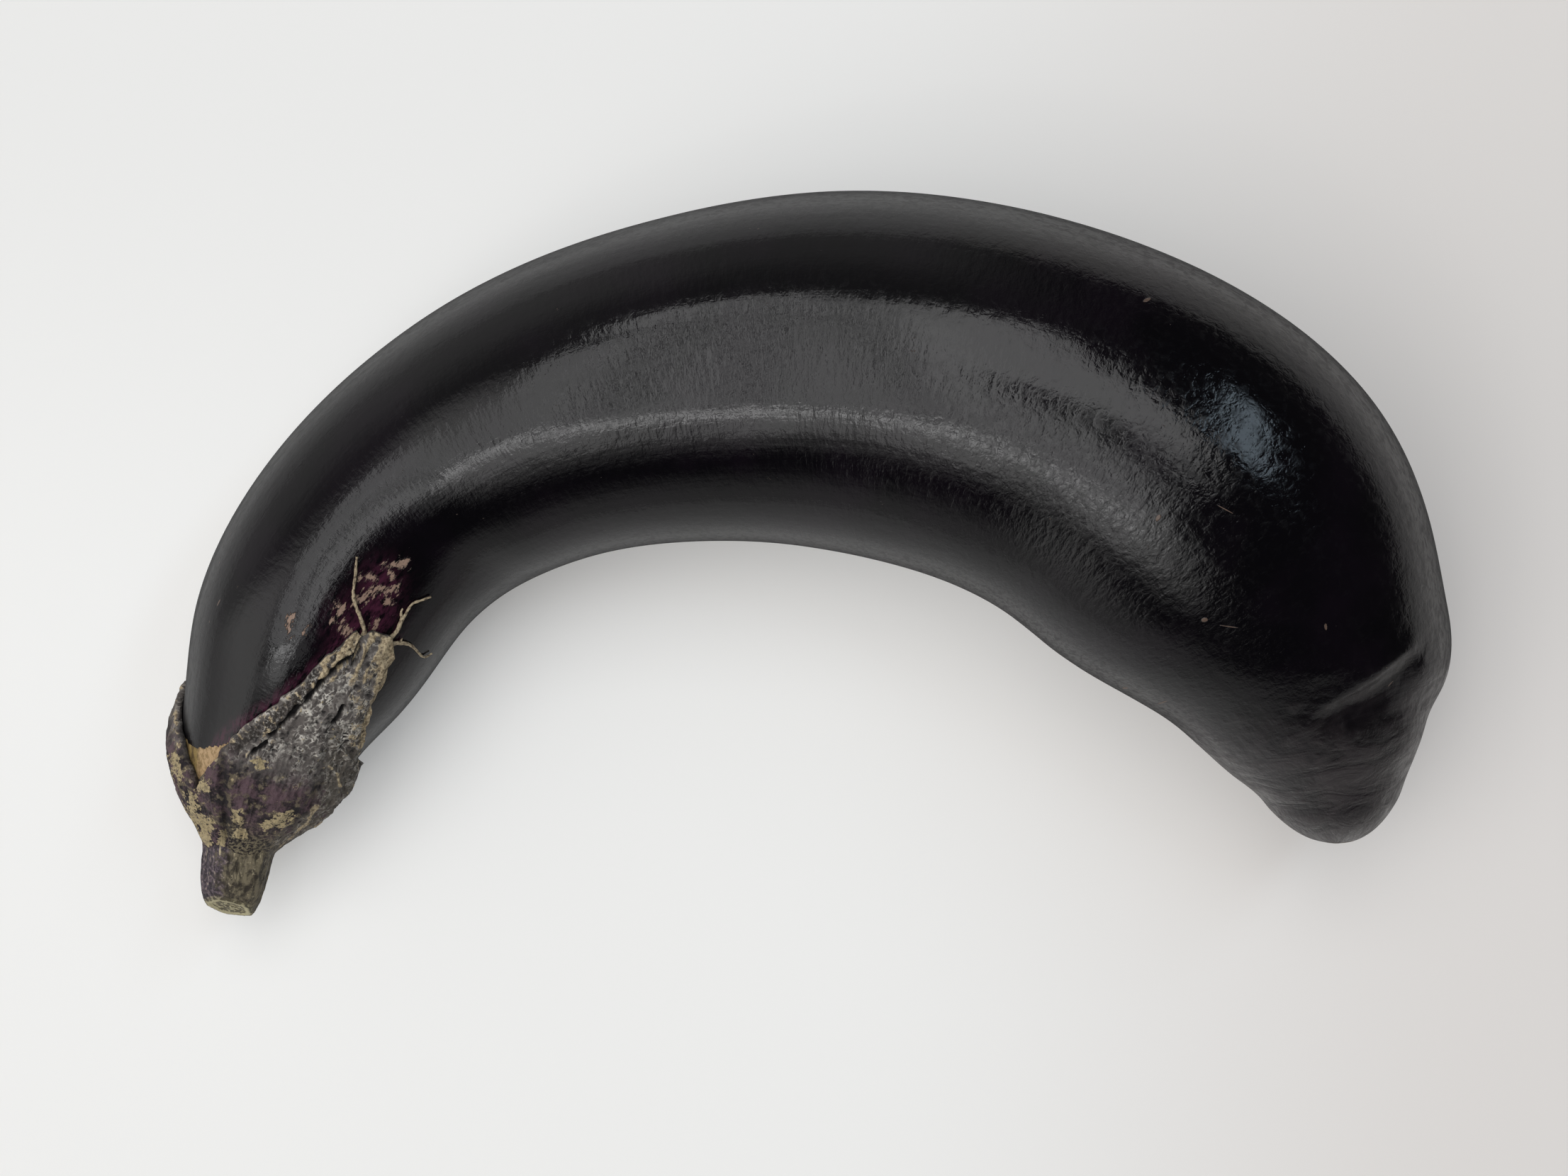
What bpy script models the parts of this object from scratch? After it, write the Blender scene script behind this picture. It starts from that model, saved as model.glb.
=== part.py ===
"""A curved eggplant lying on its side: the fruit, its dried calyx and its cut stem.

Everything is swept along one spine that runs from the stem's cut end, over the arch, to the
blossom tip. Plan positions are seen from above, +X right and +Y away, with the origin under the
middle of the whole eggplant, on the surface it lies on. Lengths are in metres; MM turns
millimetres into metres.
"""

import math

import bmesh
import bpy
import numpy as np

MM = 0.001

# The spine's stations, in millimetres, from the stem's cut end to the blossom tip: plan x, plan y,
# half width, half height, and how high the underside is above the surface at that station.
STATIONS = [
    (-98.4, -61.0, 9.0, 9.0, 8.0),
    (-97.0, -49.6, 11.2, 11.0, 6.4),
    (-94.4, -39.0, 13.5, 13.1, 4.4),
    (-91.0, -28.6, 16.0, 15.5, 2.8),
    (-86.4, -18.4, 19.5, 18.5, 1.1),
    (-75.2, 0.3, 21.5, 20.8, -0.5),
    (-59.3, 14.9, 23.2, 22.2, -0.9),
    (-40.0, 24.3, 25.3, 24.4, -0.3),
    (-19.3, 29.0, 27.6, 26.4, -0.5),
    (1.9, 30.3, 29.8, 28.4, -1.0),
    (23.0, 27.5, 31.1, 30.2, -0.5),
    (43.1, 20.9, 32.2, 31.4, -0.3),
    (61.4, 9.7, 33.4, 32.2, -0.5),
    (73.2, -3.2, 31.0, 31.4, -1.1),
    (80.7, -16.2, 25.3, 27.8, 0.9),
    (85.2, -28.1, 19.0, 21.4, 5.6),
    (87.9, -38.1, 12.7, 15.2, 10.1),
    (89.2, -48.5, 9.3, 10.0, 13.8),
]
# The middle of the whole eggplant's box in the plan that the stations are laid out in.
MIDDLE = (-1.95, -1.15)

# Where each piece starts and ends along the spine, measured from the stem's cut end.
STEM_LENGTH = 10.9 * MM
STEM_TO_CALYX_GAP = 0.3 * MM
SHOULDER_START = 14.2 * MM
SHOULDER_LENGTH = 13.0 * MM
TIP_CAP_LENGTH = 8.0 * MM

# The sweep of the fruit's section away from an ellipse: (waves round the section, share, turn).
SECTION_WAVES = [(3, 0.012, 25.0), (4, 0.010, 40.0), (5, 0.005, 10.0)]

# Bumps and hollows of the fruit, in plan on the upper side: x, y, length, breadth, turn in degrees
# from the spine towards the outside of the bend, and height (a hollow is negative), in millimetres.
SWELLINGS = [
    ("blossom end bump", 103.5, -16.0, 8.0, 16.0, 0.0, 1.7),
    ("fold's lower groove", 93.0, -21.5, 3.6, 15.0, -24.0, -1.5),
    ("fold's upper lip", 90.0, -17.5, 4.0, 14.0, -24.0, 0.7),
    ("outer waist", 100.0, -33.0, 6.0, 10.0, 0.0, -1.2),
    ("hollow in the crown", 54.0, 19.0, 14.0, 5.5, 6.0, -0.9),
    ("hollow below the crown", 58.0, 4.0, 16.0, 6.0, 8.0, -0.7),
    ("inner pinch behind the neck", -54.0, -4.0, 9.0, 9.0, 0.0, -1.1),
    ("flat on the arch", -10.0, 31.0, 30.0, 9.0, 0.0, -0.5),
]

FRUIT_CAP_RINGS = 8
FRUIT_BODY_RINGS = 68
FRUIT_SIDES = 44
REST_CUTTER_SIZE = 0.4

# The calyx: reach of its rim along the spine at each angle round it, in degrees from straight up,
# positive towards the outside of the bend. Tips are sepals, and low values are the notches.
RIM = [
    (-180, 27.5), (-168, 31.0), (-156, 41.0), (-148, 43.0), (-140, 38.0), (-128, 28.0),
    (-118, 27.0), (-108, 30.0), (-99, 31.4), (-90, 30.2), (-81, 31.0), (-70, 34.8),
    (-62, 38.4), (-57, 40.8), (-53, 43.6), (-50, 46.4), (-48, 49.6), (-46, 53.2), (-44, 56.4),
    (-39, 58.0), (-32, 57.2), (-28, 55.8), (-24, 56.0), (-20, 52.0), (-16, 47.6), (-13, 44.8),
    (-8, 41.2), (-4, 38.9), (4, 35.1), (12, 30.8), (19, 26.6), (27, 23.0), (33, 20.6),
    (39, 23.3), (51, 27.0), (64, 30.0), (80, 32.0), (97, 34.0), (106, 31.0),
    (116, 25.5), (126, 24.5), (138, 33.0), (150, 41.0), (158, 40.0), (168, 32.0),
]
CALYX_SIDES = 96
CALYX_ROWS = 18
CALYX_GAP = 0.32 * MM
CUP_FIRST_RING = 0.15 * MM
CUP_CROWDING = 1.4
# Outer radius of the calyx's fleshy base: distance along the spine and radius, in millimetres.
CALYX_BASE = [
    (11.2, 6.4), (13.0, 7.8), (15.2, 9.8), (17.6, 11.9), (20.2, 13.7), (23.4, 15.2), (27.0, 16.3),
]
CALYX_BASE_BLEND = (20.0 * MM, 27.0 * MM)
# Thickness of a sepal above the fruit's skin: distance along the spine and thickness.
SEPAL_THICKNESS = [(20.0, 2.3), (27.0, 2.0), (34.0, 1.6), (44.0, 1.5), (58.0, 1.3)]
RIM_THICKNESS = 0.95 * MM
RIM_TAPER = (-1.2 * MM, 6.0 * MM)
SEPAL_KEELS = [(-34.0, 0.5), (95.0, 0.5), (152.0, 0.5), (-150.0, 0.5)]
KEEL_BREADTH = 13.0
NOTCH_FOLDS = [(33.0, 0.6), (-94.0, 0.8), (-124.0, 0.5), (122.0, 0.5), (180.0, 0.4)]
# Wrinkles of the dried sepals: height, waves round the calyx, waves along a millimetre, and sway.
WRINKLE_HEIGHT = 0.22 * MM
WRINKLES_ROUND = 11
WRINKLES_ALONG = 1.3
WRINKLE_SWAY = 2.0
WRINKLE_SWAYS_ROUND = 5

# Dried tails at the big sepal's tip, in plan millimetres, with the root first.
TAILS = [
    ("tail_left", [(-73.2, -16.4), (-72.6, -12.8), (-73.2, -9.0), (-73.4, -5.4), (-72.8, -1.1)]),
    ("tail_middle", [(-69.3, -16.4), (-67.4, -13.0), (-65.6, -10.4), (-64.6, -8.4), (-61.8, -7.3)]),
    ("tail_right", [(-69.0, -16.2), (-66.9, -14.9), (-65.4, -15.5), (-64.1, -16.9), (-62.8, -16.5)]),
]
TAIL_ROOT_RADIUS = 0.75 * MM
TAIL_TIP_RADIUS = 0.36 * MM
TAIL_RINGS_PER_POINT = 3
TAIL_SIDES = 6
TAIL_CLEARANCE = 1.12

# The stem: distance from the calyx end and radius, in millimetres.
STEM_PROFILE = [(0.0, 6.2), (1.6, 5.9), (4.0, 5.75), (6.4, 5.45), (8.6, 5.0), (10.0, 4.4)]
STEM_RIBS = 5
STEM_RIB_HEIGHT = 0.05
STEM_RIB_TURN = 0.3
STEM_OVAL = 0.02
STEM_CUT_SLOPE = math.tan(math.radians(17.0))
STEM_EDGE = 0.7 * MM
STEM_RINGS = 12
STEM_SIDES = 40

AUBERGINE = (0.012, 0.008, 0.014, 1.0)
DRY_CALYX = (0.13, 0.105, 0.10, 1.0)
STEM_BROWN = (0.10, 0.085, 0.055, 1.0)


def smooth_through(knots, values, at):
    """A natural cubic spline through the values at the knots, read at any distances."""
    knots = np.asarray(knots, float)
    values = np.asarray(values, float)
    steps = np.diff(knots)
    slopes = np.diff(values) / steps
    count = len(knots)
    system = np.eye(count)
    wanted = np.zeros(count)
    for i in range(1, count - 1):
        system[i, i - 1 : i + 2] = steps[i - 1], 2 * (steps[i - 1] + steps[i]), steps[i]
        wanted[i] = 6 * (slopes[i] - slopes[i - 1])
    bend = np.linalg.solve(system, wanted)
    i = np.clip(np.searchsorted(knots, at) - 1, 0, count - 2)
    before = at - knots[i]
    after = knots[i + 1] - at
    return (
        (bend[i] * after**3 + bend[i + 1] * before**3) / (6 * steps[i])
        + (values[i] / steps[i] - bend[i] * steps[i] / 6) * after
        + (values[i + 1] / steps[i] - bend[i + 1] * steps[i] / 6) * before
    )


def smooth_step(x, low, high):
    """0 below low, 1 above high, and a smooth rise between."""
    t = np.clip((x - low) / (high - low), 0.0, 1.0)
    return t * t * (3 - 2 * t)


class Spine:
    """The curve that the eggplant grew along, with its half width and half height."""

    def __init__(self):
        table = np.array(STATIONS) * MM
        table[:, :2] -= np.array(MIDDLE) * MM
        self.table = table
        self.knots = np.concatenate(
            [[0.0], np.cumsum(np.hypot(*np.diff(table[:, :2], axis=0).T))]
        )
        self.length = self.knots[-1]

    def read(self, column, s):
        return smooth_through(self.knots, self.table[:, column], s)

    def centre(self, s):
        return np.stack(
            [self.read(0, s), self.read(1, s), self.read(3, s) + self.read(4, s)], axis=-1
        )

    def frame(self, s):
        """Tangent, outward side and upward direction at each distance."""
        step = 0.2 * MM
        tangent = self.centre(s + step) - self.centre(s - step)
        tangent /= np.linalg.norm(tangent, axis=-1, keepdims=True)
        outward = np.stack(
            [-tangent[..., 1], tangent[..., 0], np.zeros_like(tangent[..., 0])], axis=-1
        )
        outward /= np.linalg.norm(outward, axis=-1, keepdims=True)
        return tangent, outward, np.cross(tangent, outward)

    def plan_to_surface(self, x, y):
        """Distance along the spine and angle round it of a laid-out point on the upper side."""
        x, y = x - MIDDLE[0] * MM, y - MIDDLE[1] * MM
        s = np.linspace(0.0, self.length, 2000)
        centre = self.centre(s)
        nearest = s[np.argmin(np.hypot(centre[:, 0] - x, centre[:, 1] - y))]
        _, outward, _ = self.frame(np.array([nearest]))
        offset = np.dot([x, y] - self.centre(np.array([nearest]))[0, :2], outward[0, :2])
        width = self.read(2, np.array([nearest]))[0]
        return nearest, math.asin(max(-0.999, min(0.999, offset / width)))


SPINE = Spine()


def closing(s):
    """1 along the fruit, falling to 0 on a quarter ellipse at its shoulder and at its tip."""
    from_shoulder = np.clip((s - SHOULDER_START) / SHOULDER_LENGTH, 0.0, 1.0)
    from_tip = np.clip((SPINE.length - s) / TIP_CAP_LENGTH, 0.0, 1.0)
    return np.sqrt(from_shoulder * (2 - from_shoulder)) * np.sqrt(from_tip * (2 - from_tip))


def swelling(s, angle):
    """Height of all bumps and hollows at a distance and angle."""
    height = np.zeros_like(s)
    width = SPINE.read(2, s)
    for _, x, y, length, breadth, turn, amount in SWELLINGS:
        at_s, at_angle = SPINE.plan_to_surface(x * MM, y * MM)
        along = s - at_s
        across = width * np.sin((angle - at_angle) / 2) * 2
        c, t = math.cos(math.radians(turn)), math.sin(math.radians(turn))
        u = (c * along + t * across) / (length * MM)
        v = (c * across - t * along) / (breadth * MM)
        height += amount * MM * np.exp(-u * u - v * v)
    return height


def fruit_surface(s, angle):
    """Points of the fruit's skin at distances s and angles round the spine."""
    s, angle = np.broadcast_arrays(np.asarray(s, float), np.asarray(angle, float))
    wave = np.ones_like(s)
    for count, share, turn in SECTION_WAVES:
        wave = wave + share * np.cos(count * (angle - math.radians(turn)))
    close = closing(s)
    bump = swelling(s, angle) * close
    across = SPINE.read(2, s) * wave * close + bump
    height = SPINE.read(3, s) * wave * close + bump
    _, outward, up = SPINE.frame(s)
    return (
        SPINE.centre(s)
        + outward * (across * np.sin(angle))[..., None]
        + up * (height * np.cos(angle))[..., None]
    )


def above_skin(s, angle, lift):
    """Points at a lift above the skin, along its normal."""
    step_s, step_angle = 0.1 * MM, 0.01
    along = fruit_surface(s + step_s, angle) - fruit_surface(s - step_s, angle)
    around = fruit_surface(s, angle + step_angle) - fruit_surface(s, angle - step_angle)
    normal = np.cross(along, around)
    normal /= np.linalg.norm(normal, axis=-1, keepdims=True)
    lift = np.broadcast_to(np.asarray(lift, float), normal.shape[:-1])
    return fruit_surface(s, angle) + normal * lift[..., None]


def closed_loft(name, rings, first_pole, last_pole):
    """A closed mesh through rings of equal size, with a fan to a point at each end."""
    mesh = bmesh.new()
    loops = [[mesh.verts.new(point) for point in ring] for ring in rings]
    for low, high in zip(loops, loops[1:]):
        for i in range(len(low)):
            j = (i + 1) % len(low)
            mesh.faces.new((low[i], low[j], high[j], high[i]))
    for loop, pole in ((loops[0], first_pole), (loops[-1], last_pole)):
        centre = mesh.verts.new(pole)
        for i in range(len(loop)):
            mesh.faces.new((loop[i], loop[(i + 1) % len(loop)], centre))
    bmesh.ops.recalc_face_normals(mesh, faces=mesh.faces[:])
    data = bpy.data.meshes.new(name)
    mesh.to_mesh(data)
    mesh.free()
    data.shade_smooth()
    piece = bpy.data.objects.new(name, data)
    bpy.context.scene.collection.objects.link(piece)
    return piece


def angles_round(count):
    return np.linspace(-math.pi, math.pi, count, endpoint=False)


def make_material(name, colour, roughness):
    material = bpy.data.materials.new(name)
    material.use_nodes = True
    shader = material.node_tree.nodes["Principled BSDF"]
    shader.inputs["Base Color"].default_value = colour
    shader.inputs["Roughness"].default_value = roughness
    shader.inputs["Metallic"].default_value = 0.0
    return material


def fruit_ring_places():
    """Distances of the fruit's rings: even turns round each closed end, and even steps between."""
    turn = np.radians(np.linspace(0.0, 90.0, FRUIT_CAP_RINGS + 1)[1:])
    shoulder = SHOULDER_START + SHOULDER_LENGTH * (1 - np.cos(turn))
    tip = SPINE.length - TIP_CAP_LENGTH * (1 - np.cos(turn[::-1]))
    body = np.linspace(shoulder[-1], tip[0], FRUIT_BODY_RINGS + 2)[1:-1]
    return np.concatenate([shoulder, body, tip])


def make_fruit():
    """The fleshy fruit, closed at both ends, with the flats it rests on cut from its underside."""
    s = fruit_ring_places()
    rings = fruit_surface(s[:, None], angles_round(FRUIT_SIDES)[None, :])
    ends = SPINE.centre(np.array([SHOULDER_START, SPINE.length]))
    fruit = closed_loft("fruit", rings, ends[0], ends[1])
    bpy.ops.mesh.primitive_cube_add(size=1.0, location=(0, 0, -REST_CUTTER_SIZE / 2))
    cutter = bpy.context.object
    cutter.name = "rest_cutter"
    cutter.scale = (REST_CUTTER_SIZE,) * 3
    cutter.hide_render = True
    cutter.display_type = "WIRE"
    cut = fruit.modifiers.new("flat rest", "BOOLEAN")
    cut.operation = "DIFFERENCE"
    cut.object = cutter
    fruit.data.materials.append(make_material("aubergine_skin", AUBERGINE, 0.22))
    return fruit


def rim_reach(angle):
    table = np.array(RIM)
    return np.interp(np.degrees(angle), table[:, 0], table[:, 1], period=360.0) * MM


def angular_ridges(angle, ridges, breadth):
    """Sum of rounded ridges at given angles round the spine, each with its own height."""
    total = np.zeros_like(angle)
    for centre, height in ridges:
        apart = (np.degrees(angle) - centre + 180.0) % 360.0 - 180.0
        total += height * MM * np.exp(-((apart / breadth) ** 2))
    return total


def calyx_outside(s, angle):
    """Outer face of the calyx: a fleshy cone at the stem that turns into sepals on the skin."""
    base = np.array(CALYX_BASE) * MM
    radius = np.interp(s, base[:, 0], base[:, 1])
    thickness = np.array(SEPAL_THICKNESS) * MM
    body = smooth_step(rim_reach(angle) - s, *RIM_TAPER)
    lift = RIM_THICKNESS + (np.interp(s, thickness[:, 0], thickness[:, 1]) - RIM_THICKNESS) * body
    shape = angular_ridges(angle, SEPAL_KEELS, KEEL_BREADTH)
    shape -= angular_ridges(angle, NOTCH_FOLDS, KEEL_BREADTH / 2)
    sway = WRINKLE_SWAY * np.sin(angle * WRINKLE_SWAYS_ROUND)
    along = np.sin(s / MM * WRINKLES_ALONG + sway)
    shape += WRINKLE_HEIGHT * along * np.sin(angle * WRINKLES_ROUND)
    _, outward, up = SPINE.frame(s)
    grown = smooth_step(s, CALYX_BASE[0][0] * MM, CALYX_BASE[3][0] * MM)
    radius = radius + shape * grown
    cone = SPINE.centre(s) + radius[..., None] * (
        outward * np.sin(angle)[..., None] + up * np.cos(angle)[..., None]
    )
    skin_s = np.maximum(s, SHOULDER_START + 1.0 * MM)
    sepal = above_skin(skin_s, angle, lift + shape * body)
    share = smooth_step(s, *CALYX_BASE_BLEND)[..., None]
    return cone * (1 - share) + sepal * share


def make_tail(name, route):
    """A dried tail as a tapering tube that lies just clear of the skin."""
    knots = np.arange(len(route), dtype=float)
    at = np.linspace(0.0, len(route) - 1.0, TAIL_RINGS_PER_POINT * len(route))
    plan = np.stack([smooth_through(knots, np.array(route)[:, i] * MM, at) for i in (0, 1)], 1)
    share = at / at[-1]
    radius = TAIL_ROOT_RADIUS * (1 - share) + TAIL_TIP_RADIUS * share
    lift = CALYX_GAP + TAIL_CLEARANCE * radius
    places = [SPINE.plan_to_surface(*point) for point in plan]
    centres = np.array(
        [above_skin(np.array(s), np.array(a), up) for (s, a), up in zip(places, lift)]
    )
    ahead = np.gradient(centres, axis=0)
    ahead /= np.linalg.norm(ahead, axis=1, keepdims=True)
    side = np.cross(ahead, [0.0, 0.0, 1.0])
    side /= np.linalg.norm(side, axis=1, keepdims=True)
    top = np.cross(side, ahead)
    turn = angles_round(TAIL_SIDES)
    rings = (
        centres[:, None]
        + radius[:, None, None] * side[:, None] * np.cos(turn)[None, :, None]
        + radius[:, None, None] * top[:, None] * np.sin(turn)[None, :, None]
    )
    return closed_loft(name, rings, centres[0], centres[-1] + ahead[-1] * TAIL_TIP_RADIUS)


def make_calyx():
    """The cap of dried sepals round the fruit's neck, with the three tails of the big sepal."""
    angle = angles_round(CALYX_SIDES)
    base_s = STEM_LENGTH + STEM_TO_CALYX_GAP
    reach = rim_reach(angle)
    share = np.linspace(0.0, 1.0, CALYX_ROWS)[:, None]
    outer_s = base_s + share * (reach - base_s)[None, :]
    outer = calyx_outside(outer_s, np.broadcast_to(angle, outer_s.shape))
    inner_first = SHOULDER_START + CUP_FIRST_RING
    back = (1 - np.linspace(0.0, 1.0, CALYX_ROWS)[:, None]) ** CUP_CROWDING
    inner_s = inner_first + back * (reach - inner_first)[None, :]
    inner = above_skin(inner_s, np.broadcast_to(angle, inner_s.shape), CALYX_GAP)
    tangent, _, _ = SPINE.frame(np.array([base_s, SHOULDER_START]))
    ends = SPINE.centre(np.array([base_s, SHOULDER_START]))
    cup_floor = ends[1] - tangent[1] * CALYX_GAP
    calyx = closed_loft("calyx", np.concatenate([outer, inner]), ends[0], cup_floor)
    tails = bpy.data.collections.new("tails")
    bpy.context.scene.collection.children.link(tails)
    for name, route in TAILS:
        tail = make_tail(name, route)
        bpy.context.scene.collection.objects.unlink(tail)
        tails.objects.link(tail)
    join = calyx.modifiers.new("join tails", "BOOLEAN")
    join.operation = "UNION"
    join.operand_type = "COLLECTION"
    join.collection = tails
    bpy.context.view_layer.objects.active = calyx
    bpy.ops.object.modifier_apply(modifier=join.name)
    for tail in list(tails.objects):
        bpy.data.objects.remove(tail)
    bpy.data.collections.remove(tails)
    calyx.data.materials.clear()
    calyx.data.materials.append(make_material("dry_calyx", DRY_CALYX, 0.8))
    return calyx


def make_stem():
    """The short ribbed stem below the calyx, cut across at a slope."""
    angle = angles_round(STEM_SIDES)
    profile = np.array(STEM_PROFILE) * MM
    below = np.linspace(0.0, STEM_PROFILE[-1][0] * MM, STEM_RINGS)
    radius = np.interp(below, profile[:, 0], profile[:, 1])
    ribs = 1 + STEM_RIB_HEIGHT * np.cos(STEM_RIBS * (angle - STEM_RIB_TURN))
    ribs += STEM_OVAL * np.cos(2 * angle)
    round_the_section = np.stack([np.sin(angle), np.cos(angle)], axis=1)
    rings = []
    for depth, size in zip(below, radius):
        flat = size * ribs[:, None] * round_the_section
        slope = STEM_CUT_SLOPE * flat[:, 1] * (depth / below[-1]) ** 3
        rings.append(stem_ring(STEM_LENGTH - depth + slope, flat))
    edge = radius[-1] - STEM_EDGE
    flat = edge * ribs[:, None] * round_the_section
    cut_at = STEM_LENGTH - below[-1] - STEM_EDGE
    rings.append(stem_ring(cut_at + STEM_CUT_SLOPE * flat[:, 1], flat))
    ends = SPINE.centre(np.array([STEM_LENGTH, cut_at]))
    stem = closed_loft("stem", rings, ends[0], ends[1])
    stem.data.materials.append(make_material("stem_brown", STEM_BROWN, 0.75))
    return stem


def stem_ring(s, flat):
    """A ring round the spine from each point's own distance and its (outward, up) offsets."""
    top = np.array([STEM_LENGTH])
    tangent, outward, up = (direction[0] for direction in SPINE.frame(top))
    start = SPINE.centre(top)[0]
    away = (s - STEM_LENGTH)[:, None] * tangent
    return start + away + flat[:, :1] * outward + flat[:, 1:] * up


def main():
    for old in list(bpy.data.objects):
        bpy.data.objects.remove(old)
    make_fruit()
    make_calyx()
    make_stem()


main()
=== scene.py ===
import math

import bpy
import numpy as np
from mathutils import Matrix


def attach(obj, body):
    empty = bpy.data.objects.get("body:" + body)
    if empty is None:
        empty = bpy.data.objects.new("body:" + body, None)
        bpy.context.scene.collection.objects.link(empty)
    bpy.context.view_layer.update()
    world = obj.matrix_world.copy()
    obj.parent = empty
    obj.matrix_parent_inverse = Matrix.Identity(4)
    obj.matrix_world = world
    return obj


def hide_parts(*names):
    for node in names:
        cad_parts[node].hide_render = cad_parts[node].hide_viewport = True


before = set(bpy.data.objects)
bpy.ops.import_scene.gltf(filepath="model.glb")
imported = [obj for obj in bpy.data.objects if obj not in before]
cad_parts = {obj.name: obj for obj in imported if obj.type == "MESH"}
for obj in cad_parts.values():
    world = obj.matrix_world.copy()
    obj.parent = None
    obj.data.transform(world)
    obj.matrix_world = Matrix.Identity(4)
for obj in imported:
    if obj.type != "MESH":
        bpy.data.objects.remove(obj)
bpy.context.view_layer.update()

MM = 0.001

# The fruit. One fleshy berry in a thin waxy skin, purple so deep that it looks black. It grew bent,
# so it is a rounded section carried along a curved spine, from the shoulder under the calyx to the
# blossom tip, and its soft flesh is pressed flat where it lies on the table.

# Stations of the spine from the stem's cut end to the blossom tip: plan x, plan y, half width, half
# height, and how high the underside is above the table, all in millimetres.
STATIONS = np.array([
    (-96.45, -59.85, 9.0, 9.0, 8.0),
    (-95.05, -48.45, 11.2, 11.0, 6.4),
    (-92.45, -37.85, 13.5, 13.1, 4.4),
    (-89.05, -27.45, 16.0, 15.5, 2.8),
    (-84.45, -17.25, 19.5, 18.5, 1.1),
    (-73.25, 1.45, 21.5, 20.8, -0.5),
    (-57.35, 16.05, 23.2, 22.2, -0.9),
    (-38.05, 25.45, 25.3, 24.4, -0.3),
    (-17.35, 30.15, 27.6, 26.4, -0.5),
    (3.85, 31.45, 29.8, 28.4, -1.0),
    (24.95, 28.65, 31.1, 30.2, -0.5),
    (45.05, 22.05, 32.2, 31.4, -0.3),
    (63.35, 10.85, 33.4, 32.2, -0.5),
    (75.15, -2.05, 31.0, 31.4, -1.1),
    (82.65, -15.05, 25.3, 27.8, 0.9),
    (87.15, -26.95, 19.0, 21.4, 5.6),
    (89.85, -36.95, 12.7, 15.2, 10.1),
    (91.15, -47.35, 9.3, 10.0, 13.8),
]) * MM
STATION_AT = np.concatenate([[0.0], np.cumsum(np.hypot(*np.diff(STATIONS[:, :2], axis=0).T))])
FRUIT_END = STATION_AT[-1]
SHOULDER_START = 14.2 * MM
SHOULDER_LENGTH = 13.0 * MM
TIP_CAP_LENGTH = 8.0 * MM

# How the section strays from an ellipse: waves round it, their share of the radius, their turn.
SECTION_WAVES = [(3, 0.012, 25.0), (4, 0.010, 40.0), (5, 0.005, 10.0)]
# Bumps and hollows on the upper side: plan x, plan y, length, breadth, turn in degrees, height.
SWELLINGS = [
    (105.45, -14.85, 8.0, 16.0, 0.0, 1.7),
    (94.95, -20.35, 3.6, 15.0, -24.0, -1.5),
    (91.95, -16.35, 4.0, 14.0, -24.0, 0.7),
    (101.95, -33.85, 6.0, 10.0, 0.0, -0.5),
    (99.4, -43.0, 5.5, 8.0, 0.0, -1.3),
    (74.4, -37.6, 6.0, 10.0, 0.0, 0.6),
    (-52.05, -2.85, 9.0, 9.0, 0.0, -1.1),
    (-8.05, 32.15, 30.0, 9.0, 0.0, -0.5),
    (-86.0, 17.0, 18.0, 10.0, 0.0, 0.7),
    (79.7, 41.0, 11.0, 9.0, 0.0, -0.6),
]


def curve_through(knots, values, at):
    """Natural cubic spline: cubics that meet at the knots with equal slope and equal bend, and
    with no bend at the two ends."""
    steps = np.diff(knots)
    slopes = np.diff(values) / steps
    count = len(knots)
    system = np.eye(count)
    wanted = np.zeros(count)
    for i in range(1, count - 1):
        system[i, i - 1 : i + 2] = steps[i - 1], 2 * (steps[i - 1] + steps[i]), steps[i]
        wanted[i] = 6 * (slopes[i] - slopes[i - 1])
    bend = np.linalg.solve(system, wanted)
    i = np.clip(np.searchsorted(knots, at) - 1, 0, count - 2)
    before = at - knots[i]
    after = knots[i + 1] - at
    return (
        (bend[i] * after**3 + bend[i + 1] * before**3) / (6 * steps[i])
        + (values[i] / steps[i] - bend[i] * steps[i] / 6) * after
        + (values[i + 1] / steps[i] - bend[i + 1] * steps[i] / 6) * before
    )


def smooth_step(x, low, high):
    """0 below low, 1 above high, and three t squared less two t cubed between them."""
    t = np.clip((x - low) / (high - low), 0.0, 1.0)
    return t * t * (3 - 2 * t)


def unit(vectors):
    """Each vector divided by its own length."""
    return vectors / np.linalg.norm(vectors, axis=-1, keepdims=True)


def spine(s):
    """Centre of the section at a distance s: the plan curve, at underside plus half height."""
    x, y, _, half_height, underside = (
        curve_through(STATION_AT, STATIONS[:, i], s) for i in range(5)
    )
    return np.stack([x, y, half_height + underside], axis=-1)


def spine_frame(s):
    """Three unit directions at s: along the spine, level to the outside of the bend, and up."""
    along = unit(spine(s + 0.2 * MM) - spine(s - 0.2 * MM))
    outward = unit(np.stack([-along[..., 1], along[..., 0], np.zeros_like(along[..., 0])], axis=-1))
    return along, outward, np.cross(along, outward)


def swelling(s, angle):
    """Sum of bell shapes: height times e to the minus squared distance, in units of its size."""
    height = np.zeros_like(s)
    width = curve_through(STATION_AT, STATIONS[:, 2], s)
    line = np.linspace(0.0, FRUIT_END, 2000)
    for x, y, length, breadth, turn, amount in SWELLINGS:
        plan = np.array([x, y]) * MM
        near = line[np.argmin(np.linalg.norm(spine(line)[:, :2] - plan, axis=1))][None]
        _, outward, _ = spine_frame(near)
        offset = (plan - spine(near)[0, :2]) @ outward[0, :2]
        side = offset / curve_through(STATION_AT, STATIONS[:, 2], near)[0]
        along = s - near
        across = 2 * width * np.sin((angle - math.asin(np.clip(side, -0.999, 0.999))) / 2)
        c, t = math.cos(math.radians(turn)), math.sin(math.radians(turn))
        u = (c * along + t * across) / (length * MM)
        v = (c * across - t * along) / (breadth * MM)
        height += amount * MM * np.exp(-u * u - v * v)
    return height


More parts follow.
